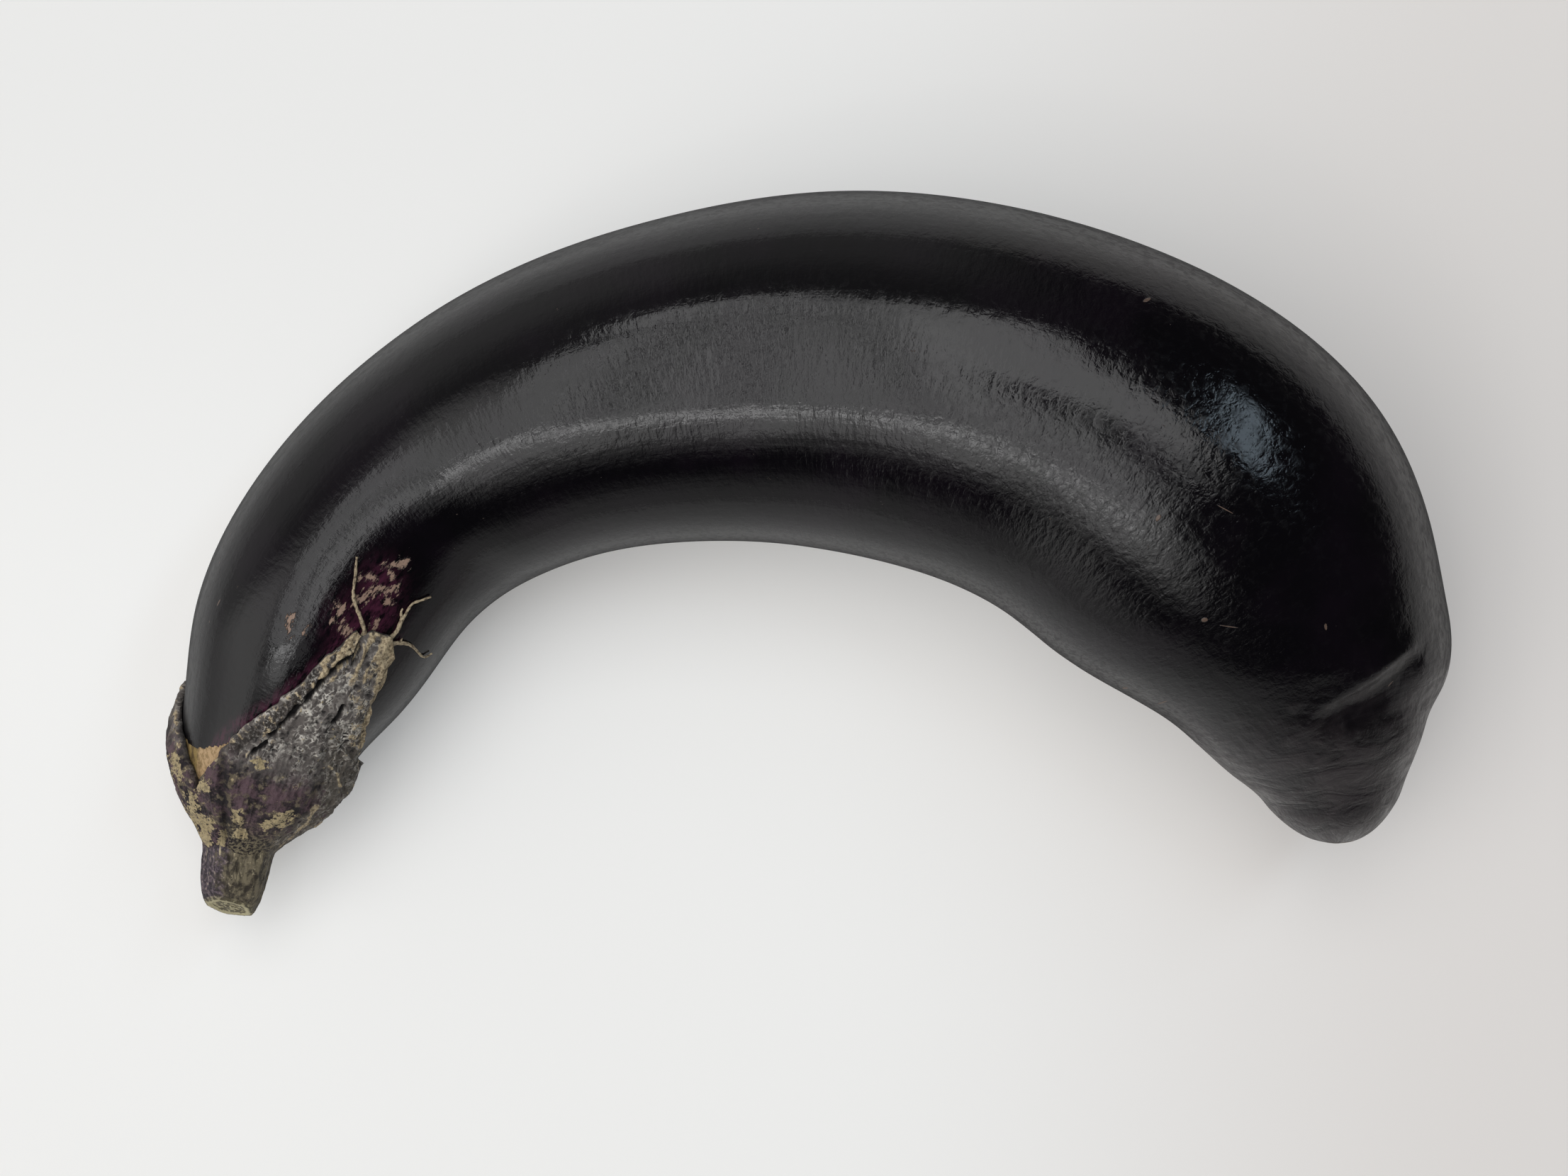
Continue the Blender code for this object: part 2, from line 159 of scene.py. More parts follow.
def fruit_skin(s, angle):
    """Skin at a distance s along the spine and an angle round it from straight up: the centre
    plus width times sine outward plus height times cosine upward, both closing on a quarter
    ellipse at the shoulder and at the tip, with waves and swellings added."""
    s, angle = np.broadcast_arrays(np.asarray(s, float), np.asarray(angle, float))
    wave = np.ones_like(s)
    for count, share, turn in SECTION_WAVES:
        wave = wave + share * np.cos(count * (angle - math.radians(turn)))
    shoulder = np.clip((s - SHOULDER_START) / SHOULDER_LENGTH, 0.0, 1.0)
    tip = np.clip((FRUIT_END - s) / TIP_CAP_LENGTH, 0.0, 1.0)
    close = np.sqrt(shoulder * (2 - shoulder)) * np.sqrt(tip * (2 - tip))
    bump = swelling(s, angle) * close
    across = curve_through(STATION_AT, STATIONS[:, 2], s) * wave * close + bump
    height = curve_through(STATION_AT, STATIONS[:, 3], s) * wave * close + bump
    _, outward, up = spine_frame(s)
    side = (across * np.sin(angle))[..., None]
    rise = (height * np.cos(angle))[..., None]
    return spine(s) + outward * side + up * rise


def skin_normal(s, angle):
    """Cross product of the skin's two directions, along the spine and round it."""
    along = fruit_skin(s + 0.1 * MM, angle) - fruit_skin(s - 0.1 * MM, angle)
    around = fruit_skin(s, angle + 0.01) - fruit_skin(s, angle - 0.01)
    return unit(np.cross(along, around))


def straightened(s, angle, radius=26 * MM):
    """The same place on a straight round bar, so that a pattern follows the bend without a seam."""
    return np.stack(
        [s + 0 * angle, radius * np.sin(angle) + 0 * s, radius * np.cos(angle) + 0 * s], axis=-1
    )


HASH_STEPS = np.array([374761393, 668265263, 1440662683])


def lumps(points, size, seed):
    """Smooth noise from -1 to 1: a random number at each corner of a lattice of cells of the given
    size in mm, and between the corners a blend weighted by a smooth step along each side."""
    cell = points / (np.array(size) * MM)
    corner = np.floor(cell).astype(np.int64)
    part = cell - corner
    part = part * part * (3 - 2 * part)
    total = np.zeros(points.shape[:-1])
    for step in np.ndindex(2, 2, 2):
        at = corner + np.array(step)
        mixed = at @ HASH_STEPS + seed * 97
        mixed = (mixed ^ (mixed >> 13)) * 1274126177
        mixed = mixed ^ (mixed >> 16)
        value = (mixed & 0xFFFF) / 32767.5 - 1
        total += value * np.prod(np.where(np.array(step) == 1, part, 1 - part), axis=-1)
    return total


EYE = np.array([-2.24, -4.93, 448.0]) * MM
EYE_PLANE = 28 * MM


def seen_from_above(points):
    """Where each point is seen on the level plane 28 mm up by an eye straight above, in mm."""
    nearer = (EYE[2] - EYE_PLANE) / (EYE[2] - points[..., 2:])
    return ((points[..., :2] - EYE[:2]) * nearer + EYE[:2]) / MM


def distance_to(route, seen):
    """Distance of each seen point from a route of straight runs, in mm: the least over its runs."""
    nearest = np.full(seen.shape[:-1], np.inf)
    for start, end in zip(np.array(route[:-1]), np.array(route[1:])):
        run = end - start
        share = np.clip((seen - start) @ run / (run @ run), 0.0, 1.0)
        gap = np.linalg.norm(seen - start - share[..., None] * run, axis=-1)
        nearest = np.minimum(nearest, gap)
    return nearest


def bell(x, breadth):
    """1 at 0 and falling off on both sides: e to the minus square of x over the breadth."""
    return np.exp(-((x / breadth) ** 2))


def in_scene(name, data):
    """A new object that shows a mesh, a light or a camera."""
    made = bpy.data.objects.new(name, data)
    bpy.context.scene.collection.objects.link(made)
    return made


def grid_piece(name, points, poles, marks=None):
    """A piece from a grid of points, with the columns closed into rings, a fan to a pole at each
    end, and named marks that its material reads at every point."""
    rows, columns = points.shape[:2]
    index = np.arange(rows * columns).reshape(rows, columns)
    after = np.roll(index, -1, axis=1)
    corners = [index[:-1], index[1:], after[1:], after[:-1]]
    faces = np.stack(corners, axis=-1).reshape(-1, 4).tolist()
    first, last = rows * columns, rows * columns + 1
    faces += [(first, a, b) for a, b in zip(index[0].tolist(), after[0].tolist())]
    faces += [(last, b, a) for a, b in zip(index[-1].tolist(), after[-1].tolist())]
    places = np.concatenate([points.reshape(-1, 3), poles])
    mesh = bpy.data.meshes.new(name)
    mesh.from_pydata(places.tolist(), [], faces)
    for label, values in (marks or {}).items():
        kind, field = ("FLOAT_VECTOR", "vector") if values.ndim == 3 else ("FLOAT", "value")
        flat = values.reshape(rows * columns, -1)
        flat = np.concatenate([flat, flat[:1], flat[-1:]])
        mesh.attributes.new(label, kind, "POINT").data.foreach_set(field, flat.ravel())
    mesh.shade_smooth()
    return in_scene(name, mesh)


# The fold above the nose, as seen from above in mm: its crest, over a groove on the nose's side.
FOLD_CREST = [
    (84.5, -25.6), (88.5, -24.1), (92.0, -22.3), (95.6, -20.1), (98.5, -17.7), (101.5, -15.4),
    (104.2, -13.6),
]
CREST_HEIGHT, CREST_OUTER_BREADTH, CREST_INNER_BREADTH = 0.42, 1.6, 0.85
GROOVE_DEPTH, GROOVE_FROM_CREST, GROOVE_BREADTH = 0.76, 2.7, 1.9
# Upper edge of the brown scar in the notch, and the rubbed sepal's left edge, in the same mm.
SCAR_EDGE_X = [-106.0, -104.0, -103.2, -102.5, -101.1, -99.4, -97.3, -95.2, -92.0]
SCAR_EDGE_Y = [-20.5, -23.5, -25.6, -28.6, -30.9, -31.5, -31.2, -30.9, -29.4]
SEPAL_LEFT_EDGE = [
    (-73.3, -12.4), (-77.3, -16.2), (-81.8, -19.9), (-85.5, -23.0), (-89.1, -25.6),
    (-93.1, -28.0), (-96.2, -31.2),
]
# Rubbed spots near the big sepal's tip, as seen from above: a short route and a radius in mm.
SCUFFS = [
    ([(-77.1, -10.5), (-76.4, -8.9), (-76.0, -7.6)], 0.55),
    ([(-75.9, -11.0), (-75.2, -12.0)], 0.75),
    ([(-73.6, -7.2), (-72.0, -6.6)], 0.6),
    ([(-72.6, -2.9), (-70.9, -3.3)], 0.55),
    ([(-68.4, -1.2), (-65.2, -0.9)], 0.5),
    ([(-67.8, -2.4), (-67.4, -3.2)], 0.45),
    ([(-71.6, -5.3), (-69.6, -5.4)], 0.6),
    ([(-68.0, -6.2), (-67.2, -5.2)], 0.7),
    ([(-68.6, -7.6), (-67.4, -7.0)], 0.5),
    ([(-70.6, -11.6), (-69.9, -10.2)], 0.45),
    ([(-84.2, -9.6), (-84.8, -11.4), (-84.5, -13.0)], 0.38),
    ([(-82.2, -12.4), (-81.6, -11.0)], 0.3),
]

# Rows of the skin's grid along the spine: start, end and spacing in mm, closest by the calyx.
SKIN_ROWS = [(18.3, 80.0, 0.47), (80.0, 212.0, 1.25), (212.0, FRUIT_END / MM - 8.2, 0.6)]
SHOULDER_CAP_LENGTH = 3.8 * MM
shoulder_turn = np.radians(np.linspace(0.0, 90.0, 13)[1:])
tip_turn = np.radians(np.linspace(90.0, 0.0, 21)[:-1])
fruit_s = np.concatenate([
    SHOULDER_START + SHOULDER_CAP_LENGTH * (1 - np.cos(shoulder_turn)),
    *(np.arange(*rows) * MM for rows in SKIN_ROWS),
    FRUIT_END - TIP_CAP_LENGTH * (1 - np.cos(tip_turn)),
])
fruit_turn = np.linspace(-math.pi, math.pi, 252, endpoint=False)
fruit_angle = fruit_turn - 0.3 * np.sin(fruit_turn)
skin_s, skin_angle = np.meshgrid(fruit_s, fruit_angle, indexing="ij")
skin = fruit_skin(skin_s, skin_angle)
bar = straightened(skin_s, skin_angle)
fat_end = smooth_step(skin_s, 150 * MM, 205 * MM)
uneven = 0.16 * lumps(bar, (34, 26, 26), 3)
uneven += (0.02 + 0.05 * fat_end) * lumps(bar, (9, 8, 8), 5)
uneven *= smooth_step(skin_s, 18 * MM, 30 * MM) * smooth_step(FRUIT_END - skin_s, 1 * MM, 9 * MM)
seen = seen_from_above(skin)
fold_y = np.interp(seen[..., 0], *zip(*FOLD_CREST))
across_fold = distance_to(FOLD_CREST, seen) * np.sign(seen[..., 1] - fold_y)
fold_ends = smooth_step(seen[..., 0], 84.0, 91.0) * (1 - smooth_step(seen[..., 0], 101.0, 105.0))
fold_ends *= smooth_step(np.cos(skin_angle), 0.0, 0.3)
crest_breadth = np.where(across_fold > 0, CREST_OUTER_BREADTH, CREST_INNER_BREADTH)
uneven += CREST_HEIGHT * fold_ends * bell(across_fold, crest_breadth)
uneven -= GROOVE_DEPTH * fold_ends * bell(across_fold + GROOVE_FROM_CREST, GROOVE_BREADTH)
nose_side = smooth_step(skin_s, 246 * MM, 260 * MM) * smooth_step(np.cos(skin_angle), -0.2, 0.3)
uneven += 0.09 * nose_side * lumps(bar, (3.2, 14, 14), 7)
uneven += 0.24 * nose_side * lumps(bar, (6.0, 30, 30), 8)
skin = skin + skin_normal(skin_s, skin_angle) * (uneven * MM)[..., None]
skin[..., 2] = np.maximum(skin[..., 2], 0.0)

seen = seen_from_above(skin)
upper = smooth_step(np.cos(skin_angle), -0.05, 0.15)
wander = lumps(bar, 2.2, 11) + 0.5 * lumps(bar, 0.9, 12)
scar_edge = np.interp(seen[..., 0], SCAR_EDGE_X, SCAR_EDGE_Y) + 0.35 * wander
scar = smooth_step(scar_edge - seen[..., 1], -0.1, 0.25) * upper
scar *= smooth_step(-90.0 - seen[..., 0], 0.0, 0.5)
along_edge = 1 - smooth_step(distance_to(SEPAL_LEFT_EDGE, seen), 0.3, 2.3)
tip_patch = bell(distance_to([(-69.5, -4.0), (-69.8, -8.5), (-70.4, -12.0)], seen), 3.4)
left_of_tip = bell(distance_to([(-75.5, -9.0), (-76.5, -12.5)], seen), 3.0)
blush = upper * np.clip(0.9 * along_edge + tip_patch + 0.45 * left_of_tip, 0.0, 1.0)
scuffed = np.zeros_like(skin_s)
for route, radius in SCUFFS:
    scuffed = np.maximum(scuffed, bell(distance_to(route, seen), 2.3 * radius))
scuffed *= upper

fruit = grid_piece(
    "eggplant_skin",
    skin,
    poles=spine(np.array([SHOULDER_START, FRUIT_END])),
    marks={
        "bar": bar,
        "scar": scar,
        "blush": blush,
        "scuffed": scuffed,
        "fat_end": fat_end,
        "nose": smooth_step(skin_s + 3 * MM * wander, 248 * MM, 263 * MM),
        "tip_scar": smooth_step(skin_s + 0.25 * MM * wander - FRUIT_END, -1.0 * MM, -0.6 * MM),
        "pinker": smooth_step(seen[..., 0] + 0.8 * wander, -100.6, -99.2),
    },
)


def join(value, socket):
    """Sets an input to a number or colour, or joins it to another node's output."""
    if isinstance(value, bpy.types.NodeSocket):
        socket.id_data.links.new(value, socket)
    else:
        socket.default_value = value


def add_node(tree, kind, settings):
    """A new node of a kind, with the named inputs set or joined."""
    made = tree.nodes.new("ShaderNode" + kind)
    for name, value in settings.items():
        join(value, made.inputs[name])
    return made


def noise(place, scale, detail=3.0, rough=0.55, distortion=0.0):
    """Cloudy noise at so many turns to the metre."""
    settings = {"Scale": scale, "Detail": detail, "Roughness": rough, "Distortion": distortion}
    return add_node(place.id_data, "TexNoise", {"Vector": place, **settings}).outputs["Fac"]


def stretched(place, scale):
    """A pattern's place, multiplied by its own number along each axis."""
    return add_node(place.id_data, "Mapping", {"Vector": place, "Scale": scale}).outputs["Vector"]


def maths(operation, first, second, clamp=False):
    """One sum on another node's value."""
    made = add_node(first.id_data, "Math", {0: first, 1: second})
    made.operation = operation
    made.use_clamp = clamp
    return made.outputs[0]


def times(first, second):
    """First times second."""
    return maths("MULTIPLY", first, second)


def plus(first, second, clamp=False):
    """First plus second."""
    return maths("ADD", first, second, clamp)


def larger(first, second):
    """The larger of the two."""
    return maths("MAXIMUM", first, second)


def between(value, low, high, start=0.0, end=1.0):
    """A value taken smoothly from the range low to high into the range start to end."""
    settings = {"Value": value, "From Min": low, "From Max": high, "To Min": start, "To Max": end}
    made = add_node(value.id_data, "MapRange", settings)
    made.interpolation_type = "SMOOTHSTEP"
    return made.outputs["Result"]


def blend(share, first, second):
    """First colour where the share is 0, second where it is 1."""
    made = share.id_data.nodes.new("ShaderNodeMix")
    made.data_type = "RGBA"
    for number, value in ((0, share), (6, first), (7, second)):
        join(value, made.inputs[number])
    return made.outputs[2]


def mark(tree, name, output="Fac"):
    """Reads a mark of the mesh: its number, or its vector."""
    made = tree.nodes.new("ShaderNodeAttribute")
    made.attribute_name = name
    return made.outputs[output]


def relief(height, distance, under=None):
    """Bumps the surface by a height of 0 to 1 times a distance, over another bump."""
    settings = {"Strength": 1.0, "Distance": distance, "Height": height}
    if under is not None:
        settings["Normal"] = under
    return add_node(height.id_data, "Bump", settings).outputs["Normal"]


def new_finish(name, roughness, ior, specular=0.5):
    """An empty material with its shader, and the place on the piece in object coordinates."""
    finish = bpy.data.materials.new(name)
    finish.use_nodes = True
    tree = finish.node_tree
    shader = tree.nodes["Principled BSDF"]
    shader.inputs["Roughness"].default_value = roughness
    shader.inputs["IOR"].default_value = ior
    shader.inputs["Specular IOR Level"].default_value = specular
    place = tree.nodes.new("ShaderNodeTexCoord").outputs["Object"]
    return finish, tree, shader, place


NEAR_BLACK_PURPLE = (0.0010, 0.0007, 0.0015, 1)
DEEP_PURPLE = (0.0030, 0.0016, 0.0036, 1)
# The nose's own grey bloom, made lighter as painted reflection.
NOSE_GREY_AND_REFLECTION = (0.021, 0.0170, 0.0187, 1)
MAGENTA_BLUSH = (0.050, 0.012, 0.027, 1)
SCUFF_TAN = (0.30, 0.20, 0.15, 1)
# Flecks and scratches on the skin, as seen from above: plan x, plan y, length and breadth in mm,
# and the turn of the length from plan x in degrees.
FLECKS = [
    (58.1, 42.9, 1.1, 0.4, 30.0), (60.0, 6.5, 0.8, 0.5, 60.0), (71.0, 8.3, 2.0, 0.12, -28.0),
    (68.0, -10.1, 0.7, 0.5, 0.0), (71.9, -11.3, 1.9, 0.11, -8.0), (88.0, -11.4, 0.3, 0.8, 10.0),
    (-96.4, -7.3, 0.9, 0.16, 60.0), (98.6, -20.7, 1.0, 0.14, 50.0), (60.8, -24.1, 1.3, 0.18, 35.0),
    (54.4, -21.6, 0.5, 0.3, 0.0), (44.2, -19.4, 0.9, 0.16, 40.0),
]
FLECK_DEPTH = 4 * MM
SCAR_OLIVE = (0.23, 0.16, 0.055, 1)
SCAR_OLIVE_DARK = (0.085, 0.055, 0.022, 1)
SCAR_PINK = (0.42, 0.285, 0.155, 1)
SCAR_TAN = (0.25, 0.165, 0.075, 1)

waxy, tree, shader, place = new_finish("waxy_aubergine_skin", 0.25, 1.38)
bar_place = mark(tree, "bar", "Vector")
fat, nose, blush_mark, scuff_mark, scar_mark, pinker, tip_scar = (
    mark(tree, name)
    for name in ("fat_end", "nose", "blush", "scuffed", "scar", "pinker", "tip_scar")
)
streaks = noise(stretched(bar_place, (1050, 330, 330)), 1.0, 3.0)
lines = noise(stretched(bar_place, (45, 800, 800)), 1.0, 3.0)
mottle = noise(bar_place, 230, 4.0, 0.6)
scales = noise(bar_place, 950, 3.0, 0.6, 0.6)
cloud = noise(bar_place, 60, 3.0)
fibres = noise(stretched(bar_place, (290, 75, 75)), 1.0, 4.0, 0.55, 0.9)
deep = blend(between(cloud, 0.4, 0.7), NEAR_BLACK_PURPLE, DEEP_PURPLE)
blush_break = noise(stretched(bar_place, (420, 900, 900)), 1.0, 4.0, 0.65)
blush_share = times(blush_mark, between(blush_break, 0.36, 0.62))
skin_colour = blend(blush_share, deep, MAGENTA_BLUSH)
scuff_break = noise(stretched(bar_place, (560, 1150, 1150)), 1.0, 5.0, 0.7)
scuff_sum = plus(times(scuff_mark, 0.27), scuff_break)
scuff_share = between(scuff_sum, 0.71, 0.77)
flat_skin, flat_seen = skin.reshape(-1, 3), seen.reshape(-1, 2)
above_table = np.where(flat_skin[:, 2] > 25 * MM, 0.0, 1e6)
fleck_sum = times(scuff_break, 1.1)
for x, y, long, short, turn in FLECKS:
    nearest = np.argmin(((flat_seen - (x, y)) ** 2).sum(axis=1) + above_table)
    shifted = add_node(tree, "Mapping", {
        "Vector": place,
        "Location": flat_skin[nearest],
        "Rotation": (0.0, 0.0, math.radians(turn)),
        "Scale": (long * MM, short * MM, FLECK_DEPTH),
    })
    shifted.vector_type = "TEXTURE"
    apart = add_node(tree, "VectorMath", {0: shifted.outputs["Vector"]})
    apart.operation = "LENGTH"
    fleck_sum = plus(fleck_sum, between(apart.outputs["Value"], 1.2, 0.3))
fleck_share = times(between(fleck_sum, 1.05, 1.40), 0.30)
scuff_share = larger(times(scuff_share, 0.85), fleck_share)
skin_colour = blend(scuff_share, skin_colour, SCUFF_TAN)
scar_break = noise(bar_place, 900, 5.0, 0.65)
olive = blend(between(scar_break, 0.38, 0.6), SCAR_OLIVE_DARK, SCAR_OLIVE)
pink = blend(between(scar_break, 0.42, 0.56), SCAR_TAN, SCAR_PINK)
scar_colour = blend(pinker, olive, pink)
scar_share = between(plus(scar_mark, times(scar_break, 0.8)), 0.85, 1.0)
skin_colour = blend(scar_share, skin_colour, scar_colour)
tip_brown = blend(between(scar_break, 0.38, 0.6), SCAR_OLIVE_DARK, SCAR_TAN)
skin_colour = blend(tip_scar, skin_colour, tip_brown)
# Partly real and partly painted reflection: the nose's own grey fibrous bloom, made lighter to
# stand in for the table's reflection on its flanks.
nose_veil_and_reflection = times(nose, between(fibres, 0.35, 0.65, 0.2, 0.9))
skin_colour = blend(nose_veil_and_reflection, skin_colour, NOSE_GREY_AND_REFLECTION)
join(skin_colour, shader.inputs["Base Color"])
dull = plus(plus(scuff_share, scar_share), tip_scar, clamp=True)
soft_streaks = noise(stretched(bar_place, (28, 340, 340)), 1.0, 3.0)
grain_gloss = plus(times(fat, 0.06), 0.07)
gloss = times(between(scales, 0.42, 0.66), grain_gloss)
gloss = plus(gloss, between(soft_streaks, 0.45, 0.70, 0.07, 0.13))
nose_gloss = times(nose, between(fibres, 0.35, 0.65, 0.05, 0.20))
gloss = plus(gloss, nose_gloss)
edge_on = add_node(tree, "LayerWeight", {"Blend": 0.5}).outputs["Facing"]
edge_dull = times(maths("POWER", edge_on, 2.7), 0.75)
edge_dull = times(edge_dull, between(nose, 0.0, 1.0, 1.0, 0.35))
gloss = plus(gloss, edge_dull)
join(plus(gloss, times(dull, 0.4)), shader.inputs["Roughness"])
rounder = plus(times(fat, 0.9), 0.65)
line_bump = relief(lines, 0.000022)
streak_bump = relief(streaks, 0.000040, under=line_bump)
mottle_bump = relief(times(mottle, rounder), 0.000075, under=streak_bump)
grain_bump = relief(times(scales, rounder), 0.000040, under=mottle_bump)
fibre_bump = relief(times(fibres, nose), 0.00040, under=grain_bump)
scar_bump = relief(times(scar_break, dull), 0.00025, under=fibre_bump)
join(scar_bump, shader.inputs["Normal"])
fruit.data.materials.append(waxy)
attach(fruit, "root")
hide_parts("fruit")

# The calyx. The cap of five sepals that held the flower, grown out of the stem and dried on the
# fruit: a fleshy purple-brown base, wrinkled grey sepals with pale crusted rims, and one big sepal
# on the upper side that has split along its length.

# Reach of the rim along the spine, in mm, at angles round it in degrees from straight up, positive
# towards the outside of the bend. High values are the sepals' tips, and low ones the notches.
RIM = np.array([
    (-180, 27.5), (-168, 31.0), (-156, 41.0), (-148, 43.0), (-140, 38.0), (-128, 28.0),
    (-118, 27.0), (-108, 30.0), (-99, 31.4), (-90, 30.2), (-81, 31.0), (-70, 34.8),
    (-62, 38.4), (-57, 40.8), (-53, 43.6), (-50, 46.4), (-48, 49.6), (-46, 53.2), (-44, 56.4),
    (-39, 58.0), (-32, 57.2), (-28, 55.8), (-24, 56.0), (-20, 52.0), (-16, 47.6), (-13, 44.8),
    (-8, 41.2), (-4, 38.9), (4, 35.1), (12, 30.8), (19, 26.6), (27, 22.4), (33, 18.9),
    (39, 22.6), (51, 27.0), (64, 30.0), (80, 32.0), (97, 34.0), (106, 31.0),
    (116, 25.5), (126, 24.5), (138, 33.0), (150, 41.0), (158, 40.0), (168, 32.0),
])
# Outer radius of the fleshy base, and thickness of a sepal above the skin: distance and size, mm.
BASE_RADIUS = np.array([
    (9.9, 5.2), (10.6, 6.1), (11.2, 6.4), (13.0, 7.8), (15.2, 9.8), (17.6, 11.9), (20.2, 13.7),
    (23.4, 15.2), (27.0, 16.3),
])
SEPAL_THICKNESS = np.array([(20.0, 2.3), (27.0, 2.0), (34.0, 1.6), (44.0, 1.5), (58.0, 1.3)])
SEPAL_KEELS = [(-34.0, 0.5), (95.0, 0.5), (152.0, 0.5), (-150.0, 0.5)]
NOTCH_FOLDS = [(33.0, 0.6), (-94.0, 0.8), (-124.0, 0.5), (122.0, 0.5), (180.0, 0.4)]
CALYX_START = 9.9 * MM
CALYX_INNER_END = SHOULDER_START + 1.6 * MM
RIM_EDGE = 0.95 * MM

# Lines on the sepals as seen from above, in mm.
LONG_CRACK = [
    (-73.4, -16.0), (-76.2, -17.6), (-79.4, -20.6), (-81.8, -23.8), (-84.8, -26.5),
    (-88.0, -30.0), (-90.9, -32.4),
]
TIP_CRACK = [(-72.8, -13.9), (-73.3, -16.2), (-74.2, -18.0)]
SLIT = [(-75.6, -24.7), (-76.3, -26.2), (-77.1, -27.6)]
SIDE_FOLD = [(-77.3, -27.6), (-78.1, -30.9), (-79.1, -33.9), (-79.4, -36.8), (-80.8, -41.6)]
BASE_GROOVE = [(-95.5, -33.4), (-95.9, -35.7), (-95.6, -38.3), (-95.5, -41.6), (-95.3, -46.5)]
BEADED_BAND = [
    (-74.4, -14.6), (-76.9, -16.9), (-79.4, -19.4), (-82.3, -22.4), (-85.4, -25.2),
    (-88.6, -28.0), (-91.6, -29.8), (-93.8, -31.4),
]
SEPAL_RIGHT_EDGE = [
    (-66.1, -13.8), (-67.6, -16.8), (-68.7, -20.3), (-69.6, -23.3), (-70.9, -26.2), (-71.7, -29.8),
]
CURLY_PATCH = [(-73.2, -23.9), (-72.8, -26.2), (-73.4, -28.6), (-74.4, -30.8)]
LEFT_SEPAL_EDGE = [(-103.2, -26.1), (-101.8, -30.4), (-100.7, -34.5), (-99.6, -38.3)]
CRACK_DEPTH, SLIT_DEPTH, GROOVE_IN_BASE, FOLD_IN_SIDE = 1.15, 0.9, 0.8, 0.4
# Raised folds of the sepal's lower right part.
RIDGE_LINES = [
    [(-79.9, -32.7), (-79.1, -35.1), (-79.6, -38.0), (-80.0, -41.0), (-82.0, -43.9), (-85.0, -46.3),
     (-87.3, -48.6)],
    [(-78.7, -33.3), (-76.7, -35.7), (-76.3, -38.6), (-77.9, -41.6), (-80.8, -44.5)],
    [(-73.2, -35.7), (-74.9, -38.6), (-77.3, -40.4), (-79.1, -41.6)],
    [(-74.9, -32.7), (-74.1, -34.5), (-73.2, -35.9)],
]
# The side fold's plan x at each distance below the middle: right of it the sepal is ridged.
FOLD_SIDE = np.array([
    (-70.0, 26.0), (-77.3, 28.2), (-78.1, 30.9), (-79.1, 33.9), (-79.4, 36.8), (-80.0, 39.2),
    (-80.8, 41.6), (-84.5, 44.2), (-87.6, 46.9), (-89.0, 49.0),
])
# Ochre scabs: a short route and a radius, as seen from above.
SCABS = [
    ([(-100.9, -40.0), (-100.4, -42.7), (-99.1, -44.5), (-98.4, -47.0)], 0.75),
    ([(-99.3, -43.0), (-97.6, -44.9)], 0.55),
    ([(-93.4, -42.5), (-93.1, -43.7)], 0.6),
    ([(-93.0, -45.6), (-92.1, -45.8)], 0.55),
    ([(-88.0, -44.4), (-86.5, -43.8), (-84.6, -43.1)], 0.8),
    ([(-103.8, -33.4), (-102.9, -36.2)], 0.55),
    ([(-99.7, -37.6), (-98.2, -38.3)], 0.6),
    ([(-96.4, -49.4), (-95.8, -46.0)], 0.5),
    ([(-90.2, -33.6), (-88.6, -34.8)], 0.5),
]


def turned_ridges(angle, ridges, breadth):
    """Sum of bell shapes round the spine: height in mm, centre and breadth in degrees."""
    total = np.zeros_like(angle)
    for centre, height in ridges:
        apart = (np.degrees(angle) - centre + 180.0) % 360.0 - 180.0
        total += height * bell(apart, breadth)
    return total


def ridged(points, size, seed):
    """Thin crests from 0 to 1: one less the size of the noise, squared."""
    return (1 - np.abs(lumps(points, size, seed))) ** 2


def calyx_face(s, angle, extra, reach):
    """Outer face of the calyx: a cone of the base's radius that turns smoothly into a sepal's
    thickness above the skin, with keels, notch folds and extra relief on both."""
    radius = np.interp(s / MM, *BASE_RADIUS.T) * MM
    thickness = np.interp(s / MM, *SEPAL_THICKNESS.T) * MM
    body = smooth_step(reach - s, -0.2 * MM, 4.0 * MM)
    lift = RIM_EDGE + (thickness - RIM_EDGE) * body
    shape = turned_ridges(angle, SEPAL_KEELS, 13.0) - turned_ridges(angle, NOTCH_FOLDS, 6.5)
    grown = smooth_step(s, 11.2 * MM, 17.6 * MM)
    _, outward, up = spine_frame(s)
    radius = radius + shape * MM * grown + extra
    round_it = outward * np.sin(angle)[..., None] + up * np.cos(angle)[..., None]
    cone = spine(s) + radius[..., None] * round_it
    on_s = np.maximum(s, SHOULDER_START + 1.0 * MM)
    sepal = fruit_skin(on_s, angle)
    sepal = sepal + skin_normal(on_s, angle) * (lift + shape * MM * body + extra)[..., None]
    share = smooth_step(s, 20 * MM, 27 * MM)[..., None]
    return cone * (1 - share) + sepal * share


fine_angle = np.radians(np.linspace(-76.0, 70.0, 348, endpoint=False))
rest_angle = np.radians(np.linspace(70.0, 284.0, 196, endpoint=False))
calyx_angle = np.concatenate([fine_angle, rest_angle])
OUTER_ROWS = 166
share = np.linspace(0.0, 1.0, OUTER_ROWS)[:, None]
reach = np.interp(np.degrees(calyx_angle), RIM[:, 0], RIM[:, 1], period=360.0) * MM
outer_s = CALYX_START + share * (reach - CALYX_START)[None, :]
outer_angle = np.broadcast_to(calyx_angle, outer_s.shape)
outer_reach = np.broadcast_to(reach, outer_s.shape)
bar = straightened(outer_s, outer_angle, 17 * MM)
near_rim = 1 - smooth_step(outer_reach - outer_s, 0.0, 3.0 * MM)
ragged = near_rim * smooth_step(outer_s, 19 * MM, 24 * MM)
